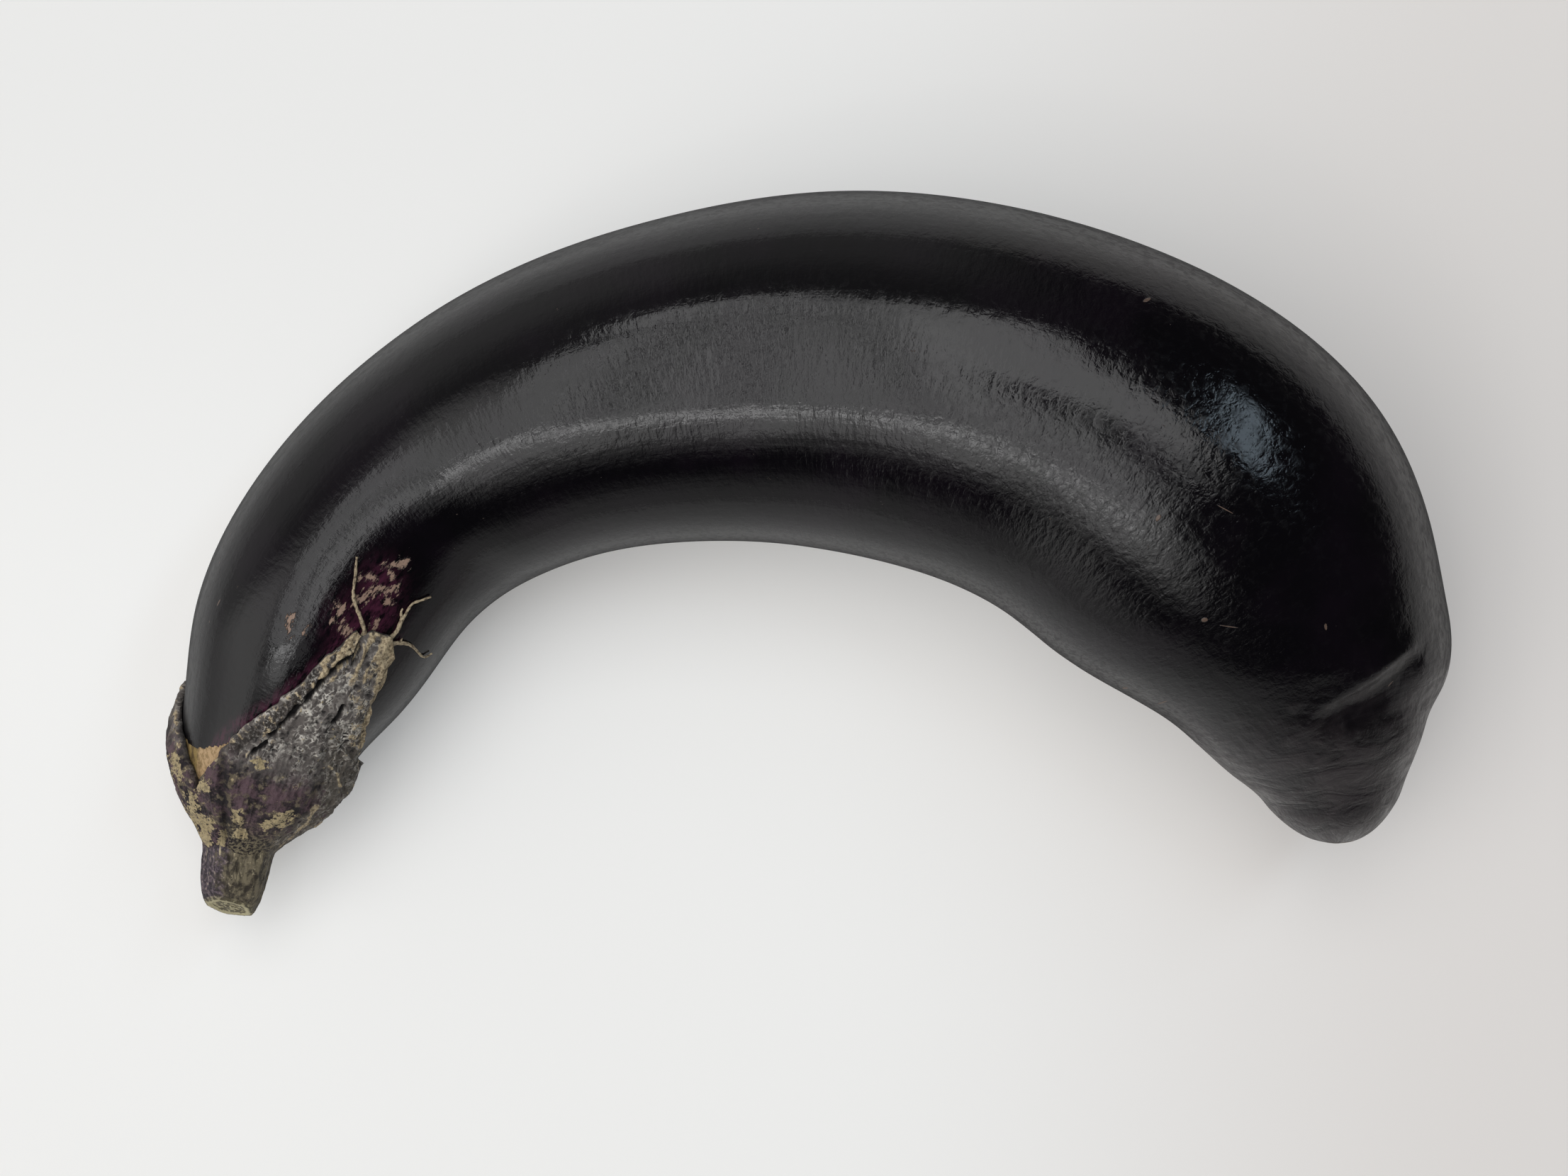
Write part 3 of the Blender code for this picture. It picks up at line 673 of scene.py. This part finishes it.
along_rim = 0.30 * lumps(bar, 1.1, 21) + 0.28 * lumps(bar, 2.6, 22)
round_rim = 0.022 * lumps(bar, 1.2, 23) + 0.014 * lumps(bar, 3.0, 24)
outer_s = outer_s + ragged * along_rim * MM
outer_angle = outer_angle + ragged * round_rim

plain = calyx_face(outer_s, outer_angle, np.zeros_like(outer_s), outer_reach)
seen = seen_from_above(plain)
upper = smooth_step(np.cos(outer_angle), -0.05, 0.15)
sepal_share = smooth_step(outer_s + 1.5 * MM * lumps(bar, 4, 25), 25 * MM, 32 * MM)
long_wrinkles = ridged(bar, (3.4, 1.15, 1.15), 31)
net_wrinkles = ridged(bar, (1.25, 1.0, 1.0), 32)
fine_wrinkles = ridged(bar, (0.62, 0.55, 0.55), 33)
to_crack = np.minimum(distance_to(LONG_CRACK, seen), distance_to(TIP_CRACK, seen) + 0.12)
to_crack = to_crack + 0.26 * lumps(bar, 1.5, 34) + 0.32 * lumps(bar, 0.7, 43)
crack = (1 - smooth_step(to_crack, 0.12, 0.5)) * upper
slit = (1 - smooth_step(distance_to(SLIT, seen) + 0.1 * lumps(bar, 1, 35), 0.2, 0.55)) * upper
lips = bell(to_crack - 0.85, 0.35) * upper
to_band = distance_to(BEADED_BAND, seen)
band = (1 - smooth_step(to_band, 0.6, 1.6)) * upper
bead_turn = (seen[..., 0] * 0.76 + seen[..., 1] * 0.65) * 2 * math.pi / 1.5
beads = 0.5 + 0.5 * np.sin(bead_turn + 1.6 * lumps(bar, 2, 36))
band_core = bell(to_band, 0.55) * upper
groove = bell(distance_to(BASE_GROOVE, seen), 0.8) * upper
fold = bell(distance_to(SIDE_FOLD, seen), 0.7) * upper
curly = bell(distance_to(CURLY_PATCH, seen), 2.2) * upper
left_rim = bell(distance_to(LEFT_SEPAL_EDGE, seen), 0.6) * upper
right_rim = (1 - smooth_step(distance_to(SEPAL_RIGHT_EDGE, seen), 0.5, 1.5)) * upper
fold_x = np.interp(-seen[..., 1], FOLD_SIDE[:, 1], FOLD_SIDE[:, 0])
lower_right = smooth_step(seen[..., 0] - fold_x + 0.5 * lumps(bar, 2, 38), -0.2, 1.2) * upper
to_ridge = distance_to(RIDGE_LINES[0], seen)
for route in RIDGE_LINES[1:]:
    to_ridge = np.minimum(to_ridge, distance_to(route, seen))
to_ridge = np.abs(to_ridge + 0.30 * lumps(bar, 1.3, 39) + 0.15 * lumps(bar, 0.6, 46))
ridge = bell(to_ridge, 0.45) * upper
worn = smooth_step(lumps(bar, 1.6, 47), -0.5, 0.6)
rim_bead = near_rim * (0.5 + 0.5 * lumps(bar, 0.95, 37))

height = 0.34 * (long_wrinkles - 0.4) + 0.20 * sepal_share * (net_wrinkles - 0.4)
height += 0.10 * (fine_wrinkles - 0.4) + (0.28 * curly + 0.22 * lower_right) * (net_wrinkles - 0.4)
fibres = ridged(bar, (9.0, 0.75, 0.75), 44)
toward_tip = smooth_step(outer_s, 44 * MM, 52 * MM) * upper
height += 0.36 * toward_tip * (fibres - 0.5)
height += 0.30 * ridge + 0.22 * (1 - sepal_share) * lumps(bar, 1.9, 42)
height += 0.28 * band_core * (beads - 0.3) + 0.25 * lips + 0.3 * rim_bead
height -= CRACK_DEPTH * crack + SLIT_DEPTH * slit + GROOVE_IN_BASE * groove + FOLD_IN_SIDE * fold
height *= smooth_step(outer_s, 10.4 * MM, 15.0 * MM) * 0.75 + 0.25
outer = calyx_face(outer_s, outer_angle, height * MM, outer_reach)

back = np.linspace(0.0, 1.0, 9)[:, None]
inner_s = outer_s[-1][None, :] - back * (outer_s[-1] - CALYX_INNER_END)[None, :]
inner_angle = np.broadcast_to(outer_angle[-1], inner_s.shape)
inner = fruit_skin(inner_s, inner_angle)
inner = inner + skin_normal(inner_s, inner_angle) * 0.12 * MM
calyx_points = np.concatenate([outer, inner])


def with_inner(values, inner_value=0.0):
    """Marks of the outer face, with one value all over the inner face."""
    return np.concatenate([values, np.full(inner_s.shape, inner_value)])


pale = band * (0.42 * beads - 0.05) + 0.55 * rim_bead + toward_tip * (0.85 * fibres - 0.15)
pale += 0.45 * lips * smooth_step(lumps(bar, 1.7, 45), -0.5, 0.4) + 0.55 * right_rim
pale += 0.35 * curly + (0.15 + 0.5 * worn) * ridge + 0.6 * left_rim
pale = np.clip(pale, 0.0, 0.66)
scab = np.zeros_like(outer_s)
for route, radius in SCABS:
    scab = np.maximum(scab, bell(distance_to(route, seen), 1.7 * radius))
scab *= upper
scab = np.maximum(scab, (1 - upper) * smooth_step(lumps(bar, 4.5, 41), 0.45, 0.8) * 0.9)
crest = 0.40 * net_wrinkles + 0.4 * fine_wrinkles + 0.2 * long_wrinkles
calyx = grid_piece(
    "calyx_cap",
    calyx_points,
    poles=spine(np.array([CALYX_START, CALYX_INNER_END])),
    marks={
        "bar": np.concatenate([bar, straightened(inner_s, inner_angle, 16 * MM)]),
        "sepal": with_inner(sepal_share, 1.0),
        "pale": with_inner(pale, 0.3),
        "crest": with_inner(crest, 0.3),
        "scab": with_inner(scab),
        "split": with_inner(np.clip(crack + slit + 0.55 * groove + 0.35 * fold, 0, 1)),
        "far": with_inner(0.75 * smooth_step(outer_s, 29 * MM, 40 * MM) + 0.6 * curly),
        "dim": with_inner(np.clip(band + 0.4 * (1 - upper), 0, 1)),
        "olive": with_inner(np.clip(lower_right, 0, 1)),
        "stemward": with_inner(1 - smooth_step(outer_s, 12 * MM, 17.5 * MM)),
    },
)

BASE_DARK = (0.010, 0.0065, 0.0085, 1)
BASE_PURPLE_BROWN = (0.088, 0.053, 0.063, 1)
SEPAL_PIT = (0.014, 0.012, 0.012, 1)
SEPAL_GREY = (0.092, 0.080, 0.074, 1)
SEPAL_PALE_GREY = (0.60, 0.565, 0.51, 1)
CRUST_TAN = (0.46, 0.375, 0.245, 1)
CRUST_BROWN = (0.20, 0.15, 0.09, 1)
SCAB_OCHRE = (0.36, 0.29, 0.165, 1)
BASE_OCHRE = (0.155, 0.125, 0.080, 1)
STEM_OLIVE = (0.165, 0.138, 0.088, 1)
BAND_BROWN = (0.024, 0.019, 0.016, 1)
OLIVE_GREY = (0.080, 0.068, 0.056, 1)
SPLIT_BLACK = (0.0035, 0.0025, 0.003, 1)

dried, tree, shader, place = new_finish("dried_sepal", 0.72, 1.45, 0.35)
bar_place = mark(tree, "bar", "Vector")
(crest_mark, sepal_mark, pale_mark, scab_mark, split_mark, olive_mark, stemward_mark, dim_mark,
 far_mark) = (
    mark(tree, name)
    for name in ("crest", "sepal", "pale", "scab", "split", "olive", "stemward", "dim", "far")
)
patchy = noise(place, 270, 5.0, 0.62)
blotchy = noise(place, 700, 4.0, 0.6)
tiny = noise(place, 1900, 4.0, 0.65)
crest_sum = plus(crest_mark, times(tiny, 0.55))
cloudy = add_node(tree, "TexNoise", {"Vector": bar_place, "Scale": 900}).outputs["Color"]
longer = stretched(bar_place, (0.55, 1.0, 1.0))
wavy = add_node(tree, "VectorMath", {0: cloudy, 1: (0.0020, 0.0020, 0.0020), 2: longer})
wavy.operation = "MULTIPLY_ADD"
cells = tree.nodes.new("ShaderNodeTexVoronoi")
cells.feature = "DISTANCE_TO_EDGE"
join(1000, cells.inputs["Scale"])
join(wavy.outputs[0], cells.inputs["Vector"])
net = between(cells.outputs["Distance"], 0.20, 0.03)
net = times(net, between(blotchy, 0.36, 0.60))
net = times(net, between(patchy, 0.42, 0.58, 0.25, 1.15))
net = times(net, plus(times(far_mark, 0.65), 0.35))
base_patch = plus(times(patchy, 0.72), times(tiny, 0.28))
base_colour = blend(between(base_patch, 0.44, 0.60), BASE_DARK, BASE_PURPLE_BROWN)
ochre_haze = times(between(blotchy, 0.50, 0.60), between(patchy, 0.62, 0.50))
base_colour = blend(times(ochre_haze, 0.7), base_colour, BASE_OCHRE)
turned = add_node(tree, "SeparateXYZ", {0: bar_place})
purple_side = times(turned.outputs["Y"], 59.0)
purple_side = plus(purple_side, times(patchy, 1.9))
stem_tone = blend(between(purple_side, 0.85, 1.25), STEM_OLIVE, BASE_PURPLE_BROWN)
stem_tone = blend(between(tiny, 0.58, 0.42), stem_tone, BASE_DARK)
base_colour = blend(stemward_mark, base_colour, stem_tone)
olive_part = times(olive_mark, between(crest_sum, 0.45, 0.85))
grey = blend(between(crest_sum, 0.42, 0.80), SEPAL_PIT, SEPAL_GREY)
grey = blend(net, grey, SEPAL_PALE_GREY)
grey = blend(times(dim_mark, between(tiny, 0.62, 0.46)), grey, BAND_BROWN)
colour = blend(sepal_mark, base_colour, grey)
colour = blend(olive_part, colour, OLIVE_GREY)
colour = blend(times(olive_part, net), colour, SEPAL_PALE_GREY)
pale_sum = plus(pale_mark, times(crest_sum, 0.6))
pale_sum = plus(pale_sum, times(net, 0.25))
crust = blend(between(tiny, 0.38, 0.60), CRUST_BROWN, CRUST_TAN)
colour = blend(between(pale_sum, 0.90, 1.16), colour, crust)
scab_break = plus(times(blotchy, 0.6), times(tiny, 0.4))
scab_sum = plus(times(scab_mark, 0.20), scab_break)
scab_colour = blend(between(tiny, 0.36, 0.56), BASE_OCHRE, SCAB_OCHRE)
colour = blend(between(scab_sum, 0.615, 0.645), colour, scab_colour)
colour = blend(split_mark, colour, SPLIT_BLACK)
join(colour, shader.inputs["Base Color"])
patch_bump = relief(patchy, 0.0003)
net_bump = relief(net, 0.00014, under=patch_bump)
join(relief(tiny, 0.00016, under=net_bump), shader.inputs["Normal"])
calyx.data.materials.append(dried)
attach(calyx, "root")
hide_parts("calyx")

# The tails. The big sepal's tip dried out into three thin stiff threads and a few short spikes,
# which grow out of the sepal and lie on the skin.


def place_on_skin(route):
    """Distance and angle of the skin's points seen at the given places: from the nearest point of
    a coarse grid, six Newton steps with slopes from small differences."""
    wanted = np.asarray(route, float)
    s_grid, angle_grid = np.meshgrid(
        np.linspace(22 * MM, FRUIT_END - 9 * MM, 500),
        np.radians(np.linspace(-84, 84, 85)),
        indexing="ij",
    )
    known = seen_from_above(fruit_skin(s_grid, angle_grid)).reshape(-1, 2)
    first = [int(np.argmin(((known - point) ** 2).sum(axis=1))) for point in wanted]
    s, angle = s_grid.ravel()[first], angle_grid.ravel()[first]
    for _ in range(6):
        here = seen_from_above(fruit_skin(s, angle))
        by_s = (seen_from_above(fruit_skin(s + 0.1 * MM, angle)) - here) / (0.1 * MM)
        by_angle = (seen_from_above(fruit_skin(s, angle + 0.005)) - here) / 0.005
        miss = wanted - here
        area = by_s[:, 0] * by_angle[:, 1] - by_s[:, 1] * by_angle[:, 0]
        s = s + (miss[:, 0] * by_angle[:, 1] - miss[:, 1] * by_angle[:, 0]) / area
        angle = angle + (by_s[:, 0] * miss[:, 1] - by_s[:, 1] * miss[:, 0]) / area
    return s, angle


def thread(name, centres, radius, sides=10, seed=0):
    """A tube along a line of points: round each, a ring of its own radius, roughened by noise."""
    ahead = unit(np.gradient(centres, axis=0))
    side = unit(np.cross(ahead, [0.0, 0.0, 1.0]))
    top = np.cross(side, ahead)
    turn = np.linspace(0.0, 2 * math.pi, sides, endpoint=False)
    ring = side[:, None] * np.cos(turn)[None, :, None] + top[:, None] * np.sin(turn)[None, :, None]
    rings = centres[:, None] + radius[:, None, None] * ring
    swell = 1 + 0.35 * lumps(rings, 0.55, seed)[..., None]
    rings = centres[:, None] + radius[:, None, None] * ring * swell
    return grid_piece(name, rings, poles=(centres[0], centres[-1]))


# Each thread as seen from above: route from its root, root and tip radius, lift above the skin, mm.
THREADS = [
    ("tail_left", [(-72.7, -15.2), (-72.2, -13.4), (-72.2, -12.0), (-72.8, -9.7), (-73.8, -6.9),
                   (-73.8, -4.4), (-73.5, -2.0), (-73.3, 0.3)], 0.55, 0.19, 0.2),
    ("tail_middle", [(-69.0, -14.6), (-68.2, -13.3), (-66.9, -12.0), (-66.1, -10.3), (-65.3, -9.0),
                     (-64.3, -7.5), (-62.9, -6.9), (-61.1, -6.2)], 0.52, 0.16, 0.25),
    ("tail_right", [(-68.8, -14.6), (-67.2, -14.0), (-65.7, -13.9), (-64.4, -14.4), (-63.4, -15.4),
                    (-62.4, -16.2), (-61.1, -15.6)], 0.45, 0.17, 0.25),
    ("tail_left_root", [(-74.6, -17.6), (-73.6, -15.6), (-73.0, -13.8), (-72.4, -12.2)],
     0.4, 0.2, 0.2),
    ("tail_middle_root", [(-70.6, -15.9), (-69.6, -14.6), (-68.4, -13.9), (-67.3, -12.8)],
     0.4, 0.2, 0.2),
    ("tail_right_root", [(-71.6, -14.9), (-69.8, -14.3), (-68.2, -14.0), (-66.8, -13.8)],
     0.35, 0.2, 0.25),
    ("tail_nub", [(-66.0, -9.6), (-66.1, -8.8), (-65.8, -8.2)], 0.28, 0.12, 0.3),
    ("tail_spur", [(-66.4, -13.9), (-65.9, -13.1)], 0.3, 0.1, 0.3),
    ("spike_left", [(-70.5, -14.4), (-70.1, -13.0), (-70.0, -12.1)], 0.32, 0.1, 0.3),
    ("spike_right", [(-69.7, -14.4), (-69.4, -13.3), (-69.2, -12.7)], 0.3, 0.1, 0.3),
]
THREAD_BROWN = (0.10, 0.072, 0.048, 1)
THREAD_TAN = (0.40, 0.325, 0.215, 1)

thread_tan, tree, shader, place = new_finish("dried_thread", 0.7, 1.45, 0.35)
fleck = noise(place, 1700, 4.0, 0.6)
join(blend(between(fleck, 0.34, 0.60), THREAD_BROWN, THREAD_TAN), shader.inputs["Base Color"])
join(relief(fleck, 0.0002), shader.inputs["Normal"])

for number, (name, route, root, end, lift) in enumerate(THREADS):
    route = np.array(route)
    knots = np.arange(len(route), dtype=float)
    at = np.linspace(0.0, knots[-1], 9 * len(route))
    if len(route) > 2:
        path = np.stack([curve_through(knots, route[:, i], at) for i in (0, 1)], axis=1)
    else:
        path = route[0] + at[:, None] * (route[1] - route[0])
    s, angle = place_on_skin(path)
    share = at / knots[-1]
    radius = (root + (end - root) * share**0.6) * MM
    centres = fruit_skin(s, angle) + skin_normal(s, angle) * (lift * MM + 0.6 * radius)[:, None]
    tail = thread(name, centres, radius, seed=50 + number)
    tail.data.materials.append(thread_tan)
    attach(tail, "root")
    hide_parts("calyx")

# The stem. The fruit's woody stalk, cut across with a knife: a ribbed olive-brown stub whose cut
# face shows a pale ring of bark round a drier pith.

STEM_LENGTH = 10.9 * MM
STEM_PROFILE = np.array([
    (0.0, 6.2), (1.6, 5.9), (4.0, 5.75), (6.4, 5.45), (8.6, 5.0), (10.0, 4.4),
])
CUT_SLOPE = math.tan(math.radians(24.0))
CUT_DEPTH = 10.7 * MM

stem_turn = np.linspace(-math.pi, math.pi, 300, endpoint=False)
below = np.linspace(-0.6 * MM, 10.0 * MM, 120)
ribs = 1 + 0.05 * np.cos(5 * (stem_turn - 0.3)) + 0.02 * np.cos(2 * stem_turn)
radius = np.interp(below / MM, *STEM_PROFILE.T)[:, None] * MM * ribs[None, :]
bar = straightened(below[:, None], stem_turn[None, :], 6 * MM)
bark = 0.22 * (ridged(bar, (6.0, 1.0, 1.0), 61) - 0.4)
bark += 0.08 * (ridged(bar, (1.4, 0.6, 0.6), 62) - 0.4)
radius = radius + bark * MM * smooth_step(below, -0.6 * MM, 1.5 * MM)[:, None]
depth = below[:, None] + 0 * radius
rise = radius * np.cos(stem_turn)
slope = CUT_SLOPE * rise * (np.clip(depth, 0, None) / (10.0 * MM)) ** 3

face_share = np.linspace(1.0, 0.02, 34)[1:, None]
face_radius = face_share * (radius[-1][None, :] - 0.35 * MM)
face_rise = face_radius * np.cos(stem_turn)
dish = 0.10 * np.cos(face_share * 9.0) - 0.35 * (1 - smooth_step(face_share, 0.72, 0.86))
face_bar = straightened(0 * face_radius, stem_turn, face_radius)
dish = dish + 0.22 * ridged(face_bar, 1.1, 63) * (1 - smooth_step(face_share, 0.70, 0.8))
face_depth = CUT_DEPTH + 0 * face_radius + dish * MM * smooth_step(1 - face_share, 0.0, 0.1)
face_slope = CUT_SLOPE * face_rise

top = np.array([STEM_LENGTH])
ahead, outward, up = (direction[0] for direction in spine_frame(top))


def stem_point(depth, radius, turn):
    """The stem's top, moved down the stem, and out by the radius at an angle from straight up."""
    return (
        spine(top)[0]
        - depth[..., None] * ahead
        + (radius * np.sin(turn))[..., None] * outward
        + (radius * np.cos(turn))[..., None] * up
    )


sides = stem_point(depth - slope, radius, stem_turn)
face = stem_point(face_depth - face_slope, face_radius, stem_turn)
face_centre = face[-1].mean(axis=0)
rows = len(face_share)
stem = grid_piece(
    "cut_stem",
    np.concatenate([sides, face])[::-1],
    poles=(face_centre, sides[0].mean(axis=0)),
    marks={
        "bar": np.concatenate([bar, face_bar])[::-1],
        "cut": np.concatenate([np.zeros_like(radius), np.ones_like(face_radius)])[::-1],
        "out": np.concatenate([np.ones_like(radius), face_share + 0 * face_radius])[::-1],
        "turned": np.broadcast_to(np.sin(stem_turn), (len(below) + rows, len(stem_turn)))[::-1],
        "low": np.concatenate([depth / (10 * MM), np.ones_like(face_radius)])[::-1],
    },
)

OLIVE_BROWN = (0.175, 0.146, 0.094, 1)
DARK_BROWN = (0.030, 0.023, 0.016, 1)
PURPLE_BLACK = (0.020, 0.014, 0.020, 1)
PURPLE_GREY = (0.115, 0.085, 0.100, 1)
STREAK_TAN = (0.40, 0.34, 0.22, 1)
CUT_RING = (0.40, 0.36, 0.22, 1)
CUT_PITH = (0.085, 0.072, 0.040, 1)

stalk, tree, shader, place = new_finish("stem_bark", 0.68, 1.45, 0.4)
bar_place = mark(tree, "bar", "Vector")
cut_mark, out_mark, turned_mark, low_mark = (
    mark(tree, name) for name in ("cut", "out", "turned", "low")
)
grainy = noise(stretched(bar_place, (430, 800, 800)), 1.0, 5.0, 0.66)
spots = noise(place, 1300, 4.0, 0.6)
patchy = noise(place, 420, 4.0, 0.6)
long_streak = noise(stretched(bar_place, (170, 900, 900)), 1.0, 4.0, 0.6)
colour = blend(between(grainy, 0.38, 0.62), DARK_BROWN, OLIVE_BROWN)
purple_side = plus(turned_mark, times(spots, 0.7))
purple_side = plus(purple_side, times(patchy, 1.2))
purple_tone = blend(between(spots, 0.45, 0.62), PURPLE_BLACK, PURPLE_GREY)
colour = blend(between(purple_side, 0.95, 1.35), colour, purple_tone)
streak_share = times(between(long_streak, 0.58, 0.64), between(low_mark, 0.70, 0.2))
colour = blend(streak_share, colour, STREAK_TAN)
colour = blend(times(between(spots, 0.60, 0.70), 0.6), colour, STREAK_TAN)
pith = blend(between(spots, 0.48, 0.60), CUT_PITH, CUT_RING)
ring_band = times(between(out_mark, 0.68, 0.76), between(out_mark, 0.96, 0.88))
cut_colour = blend(ring_band, pith, CUT_RING)
colour = blend(cut_mark, colour, cut_colour)
join(colour, shader.inputs["Base Color"])
grain_bump = relief(grainy, 0.0003)
join(relief(spots, 0.00012, under=grain_bump), shader.inputs["Normal"])
stem.data.materials.append(stalk)
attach(stem, "root")
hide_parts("stem")

# The table. A plain matt white top that runs out of view on every side. Its colour has painted
# shade, greyer and warmer on the right and at the back, and it glows as painted light that lifts
# its shadows.

TABLE_HALF = 3.0
TABLE_TOP = -0.0001
# Painted shade: the right and back tones are darker where the light falls off.
FRONT_LEFT = (0.69, 0.685, 0.674, 1)
FRONT_RIGHT_SHADED = (0.595, 0.570, 0.553, 1)
BACK_LEFT_SHADED = (0.64, 0.635, 0.625, 1)
BACK_RIGHT_SHADED = (0.58, 0.556, 0.538, 1)

table_mesh = bpy.data.meshes.new("table_top")
table_corners = [(-1, -1), (1, -1), (1, 1), (-1, 1)]
table_mesh.from_pydata(
    [(x * TABLE_HALF, y * TABLE_HALF, TABLE_TOP) for x, y in table_corners], [], [(0, 1, 2, 3)]
)
table = in_scene("table_top", table_mesh)
shaded_glowing_white, tree, shader, place = new_finish("white_top_painted_light", 0.6, 1.45, 0.2)
toward = add_node(tree, "SeparateXYZ", {0: place})
shade_toward_right = between(toward.outputs["X"], 0.0, 0.13)
front_tone = blend(shade_toward_right, FRONT_LEFT, FRONT_RIGHT_SHADED)
back_tone = blend(shade_toward_right, BACK_LEFT_SHADED, BACK_RIGHT_SHADED)
shaded_table_tone = blend(between(toward.outputs["Y"], -0.03, 0.09), front_tone, back_tone)
join(shaded_table_tone, shader.inputs["Base Color"])
# Painted light: the top glows with its own tone, which lifts the shadows round the fruit without a
# lamp.
join(shaded_table_tone, shader.inputs["Emission Color"])
shader.inputs["Emission Strength"].default_value = 0.33
table.data.materials.append(shaded_glowing_white)

# The light. One big soft panel overhead and to the left, with a brighter front edge, a small cool
# window behind the blossom end, and a dim room that is darker on the right.

PANEL_HEIGHT = 0.90


def soft_light(name, low, high, brightness, colour=(1.0, 1.0, 1.0)):
    """A level panel between two plan corners that shines down: its power is its brightness times
    its area times pi."""
    data = bpy.data.lights.new(name, "AREA")
    data.shape = "RECTANGLE"
    data.size, data.size_y = high[0] - low[0], high[1] - low[1]
    data.energy = brightness * data.size * data.size_y * math.pi
    data.color = colour
    lamp = in_scene(name, data)
    lamp.location = (*(np.array(low) + high) / 2, PANEL_HEIGHT)
    lamp.visible_camera = False
    return lamp


# The panel's parts: name, two plan corners in metres, brightness. A dark gap is left where the
# camera hangs.
PANELS = [
    ("panel_left", (-0.40, -0.40), (-0.35, 0.66), 3.3),
    ("panel_seam", (-0.35, -0.40), (-0.295, 0.66), 0.7),
    ("panel_left_middle", (-0.295, -0.40), (-0.22, 0.66), 3.0),
    ("panel_bright_strip", (-0.22, -0.40), (-0.14, 0.50), 3.4),
    ("panel_left_back", (-0.22, 0.50), (-0.14, 0.66), 2.2),
    ("panel_left_border", (-0.49, 0.38), (-0.40, 0.62), 2.9),
    ("panel_left_apron", (-0.58, -0.40), (-0.40, 0.32), 2.3),
    ("panel_middle", (-0.14, 0.06), (0.05, 0.68), 2.9),
    ("panel_right", (0.05, 0.06), (0.22, 0.36), 2.9),
    ("panel_right_back", (0.05, 0.36), (0.15, 0.68), 2.3),
    ("panel_beside_camera", (0.00, -0.10), (0.13, 0.06), 2.3),
    ("panel_before_camera", (-0.14, -0.22), (-0.01, -0.14), 2.3),
    ("panel_front_corner", (-0.49, -0.51), (-0.38, -0.42), 6.5),
    ("panel_front_edge", (-0.38, -0.51), (-0.24, -0.42), 5.8),
    ("panel_front_apron", (-0.54, -0.76), (-0.26, -0.52), 1.25),
    ("panel_side_apron", (-0.22, -0.66), (-0.08, -0.24), 0.7),
]
for panel in PANELS:
    soft_light(*panel)
cool_window = soft_light("cool_window", (0.20, 0.41), (1.02, 0.61), 4.0, (0.70, 0.86, 1.0))
cool_window.rotation_euler = (0.0, 0.0, math.radians(54.0))

WARM_WHITE = (1.0, 0.99, 0.97, 1)
BACKDROP_GREY = (0.80, 0.80, 0.79, 1)
room = bpy.data.worlds.new("dim_room")
room.use_nodes = True
bpy.context.scene.world = room
tree = room.node_tree
tree.nodes.clear()
direction = tree.nodes.new("ShaderNodeTexCoord").outputs["Generated"]
x, y, z = add_node(tree, "SeparateXYZ", {0: direction}).outputs
from_left = times(between(x, -0.42, -0.62), between(y, 0.38, -0.05))
from_left = times(from_left, between(z, 0.0, 0.6, 0.8, 1.75))
from_front = times(between(x, -0.08, -0.30), between(y, -0.35, -0.50))
from_front = times(from_front, between(z, 0.52, 0.74, 0.0, 1.3))
glow = larger(from_left, from_front)
beyond_left = times(between(x, 0.1, -0.6), between(y, -0.7, -0.3, 0.0, 0.6))
beyond_back = times(between(x, 0.35, -0.1), between(y, 0.15, 0.55, 0.0, 0.36))
beyond = larger(beyond_left, beyond_back)
beyond = times(beyond, between(z, 0.70, 0.25, 0.35, 1.0))
low_front = times(between(z, 0.45, 0.10, 0.0, 0.5), between(y, -0.35, -0.6))
dim = larger(larger(glow, beyond), low_front)
dim = plus(dim, 0.06)
room_light = add_node(tree, "Background", {"Strength": dim, "Color": WARM_WHITE}).outputs[0]
backdrop = add_node(tree, "Background", {"Color": BACKDROP_GREY}).outputs[0]
for_camera = tree.nodes.new("ShaderNodeLightPath").outputs["Is Camera Ray"]
choose = add_node(tree, "MixShader", {0: for_camera, 1: room_light, 2: backdrop}).outputs[0]
add_node(tree, "OutputWorld", {"Surface": choose})
bpy.context.scene.view_settings.view_transform = "Standard"

# The camera. It looks straight down from 448 mm above the table, with the stem end at the left,
# and takes in 261 mm at the fruit's mid height.

VIEW_WIDTH = 261 * MM
lens = bpy.data.cameras.new("view_from_above")
lens.sensor_width = 36.0
lens.lens = lens.sensor_width * (EYE[2] - EYE_PLANE) / VIEW_WIDTH
lens.clip_start = 0.01
camera = in_scene("view_from_above", lens)
camera.location = EYE
bpy.context.scene.camera = camera
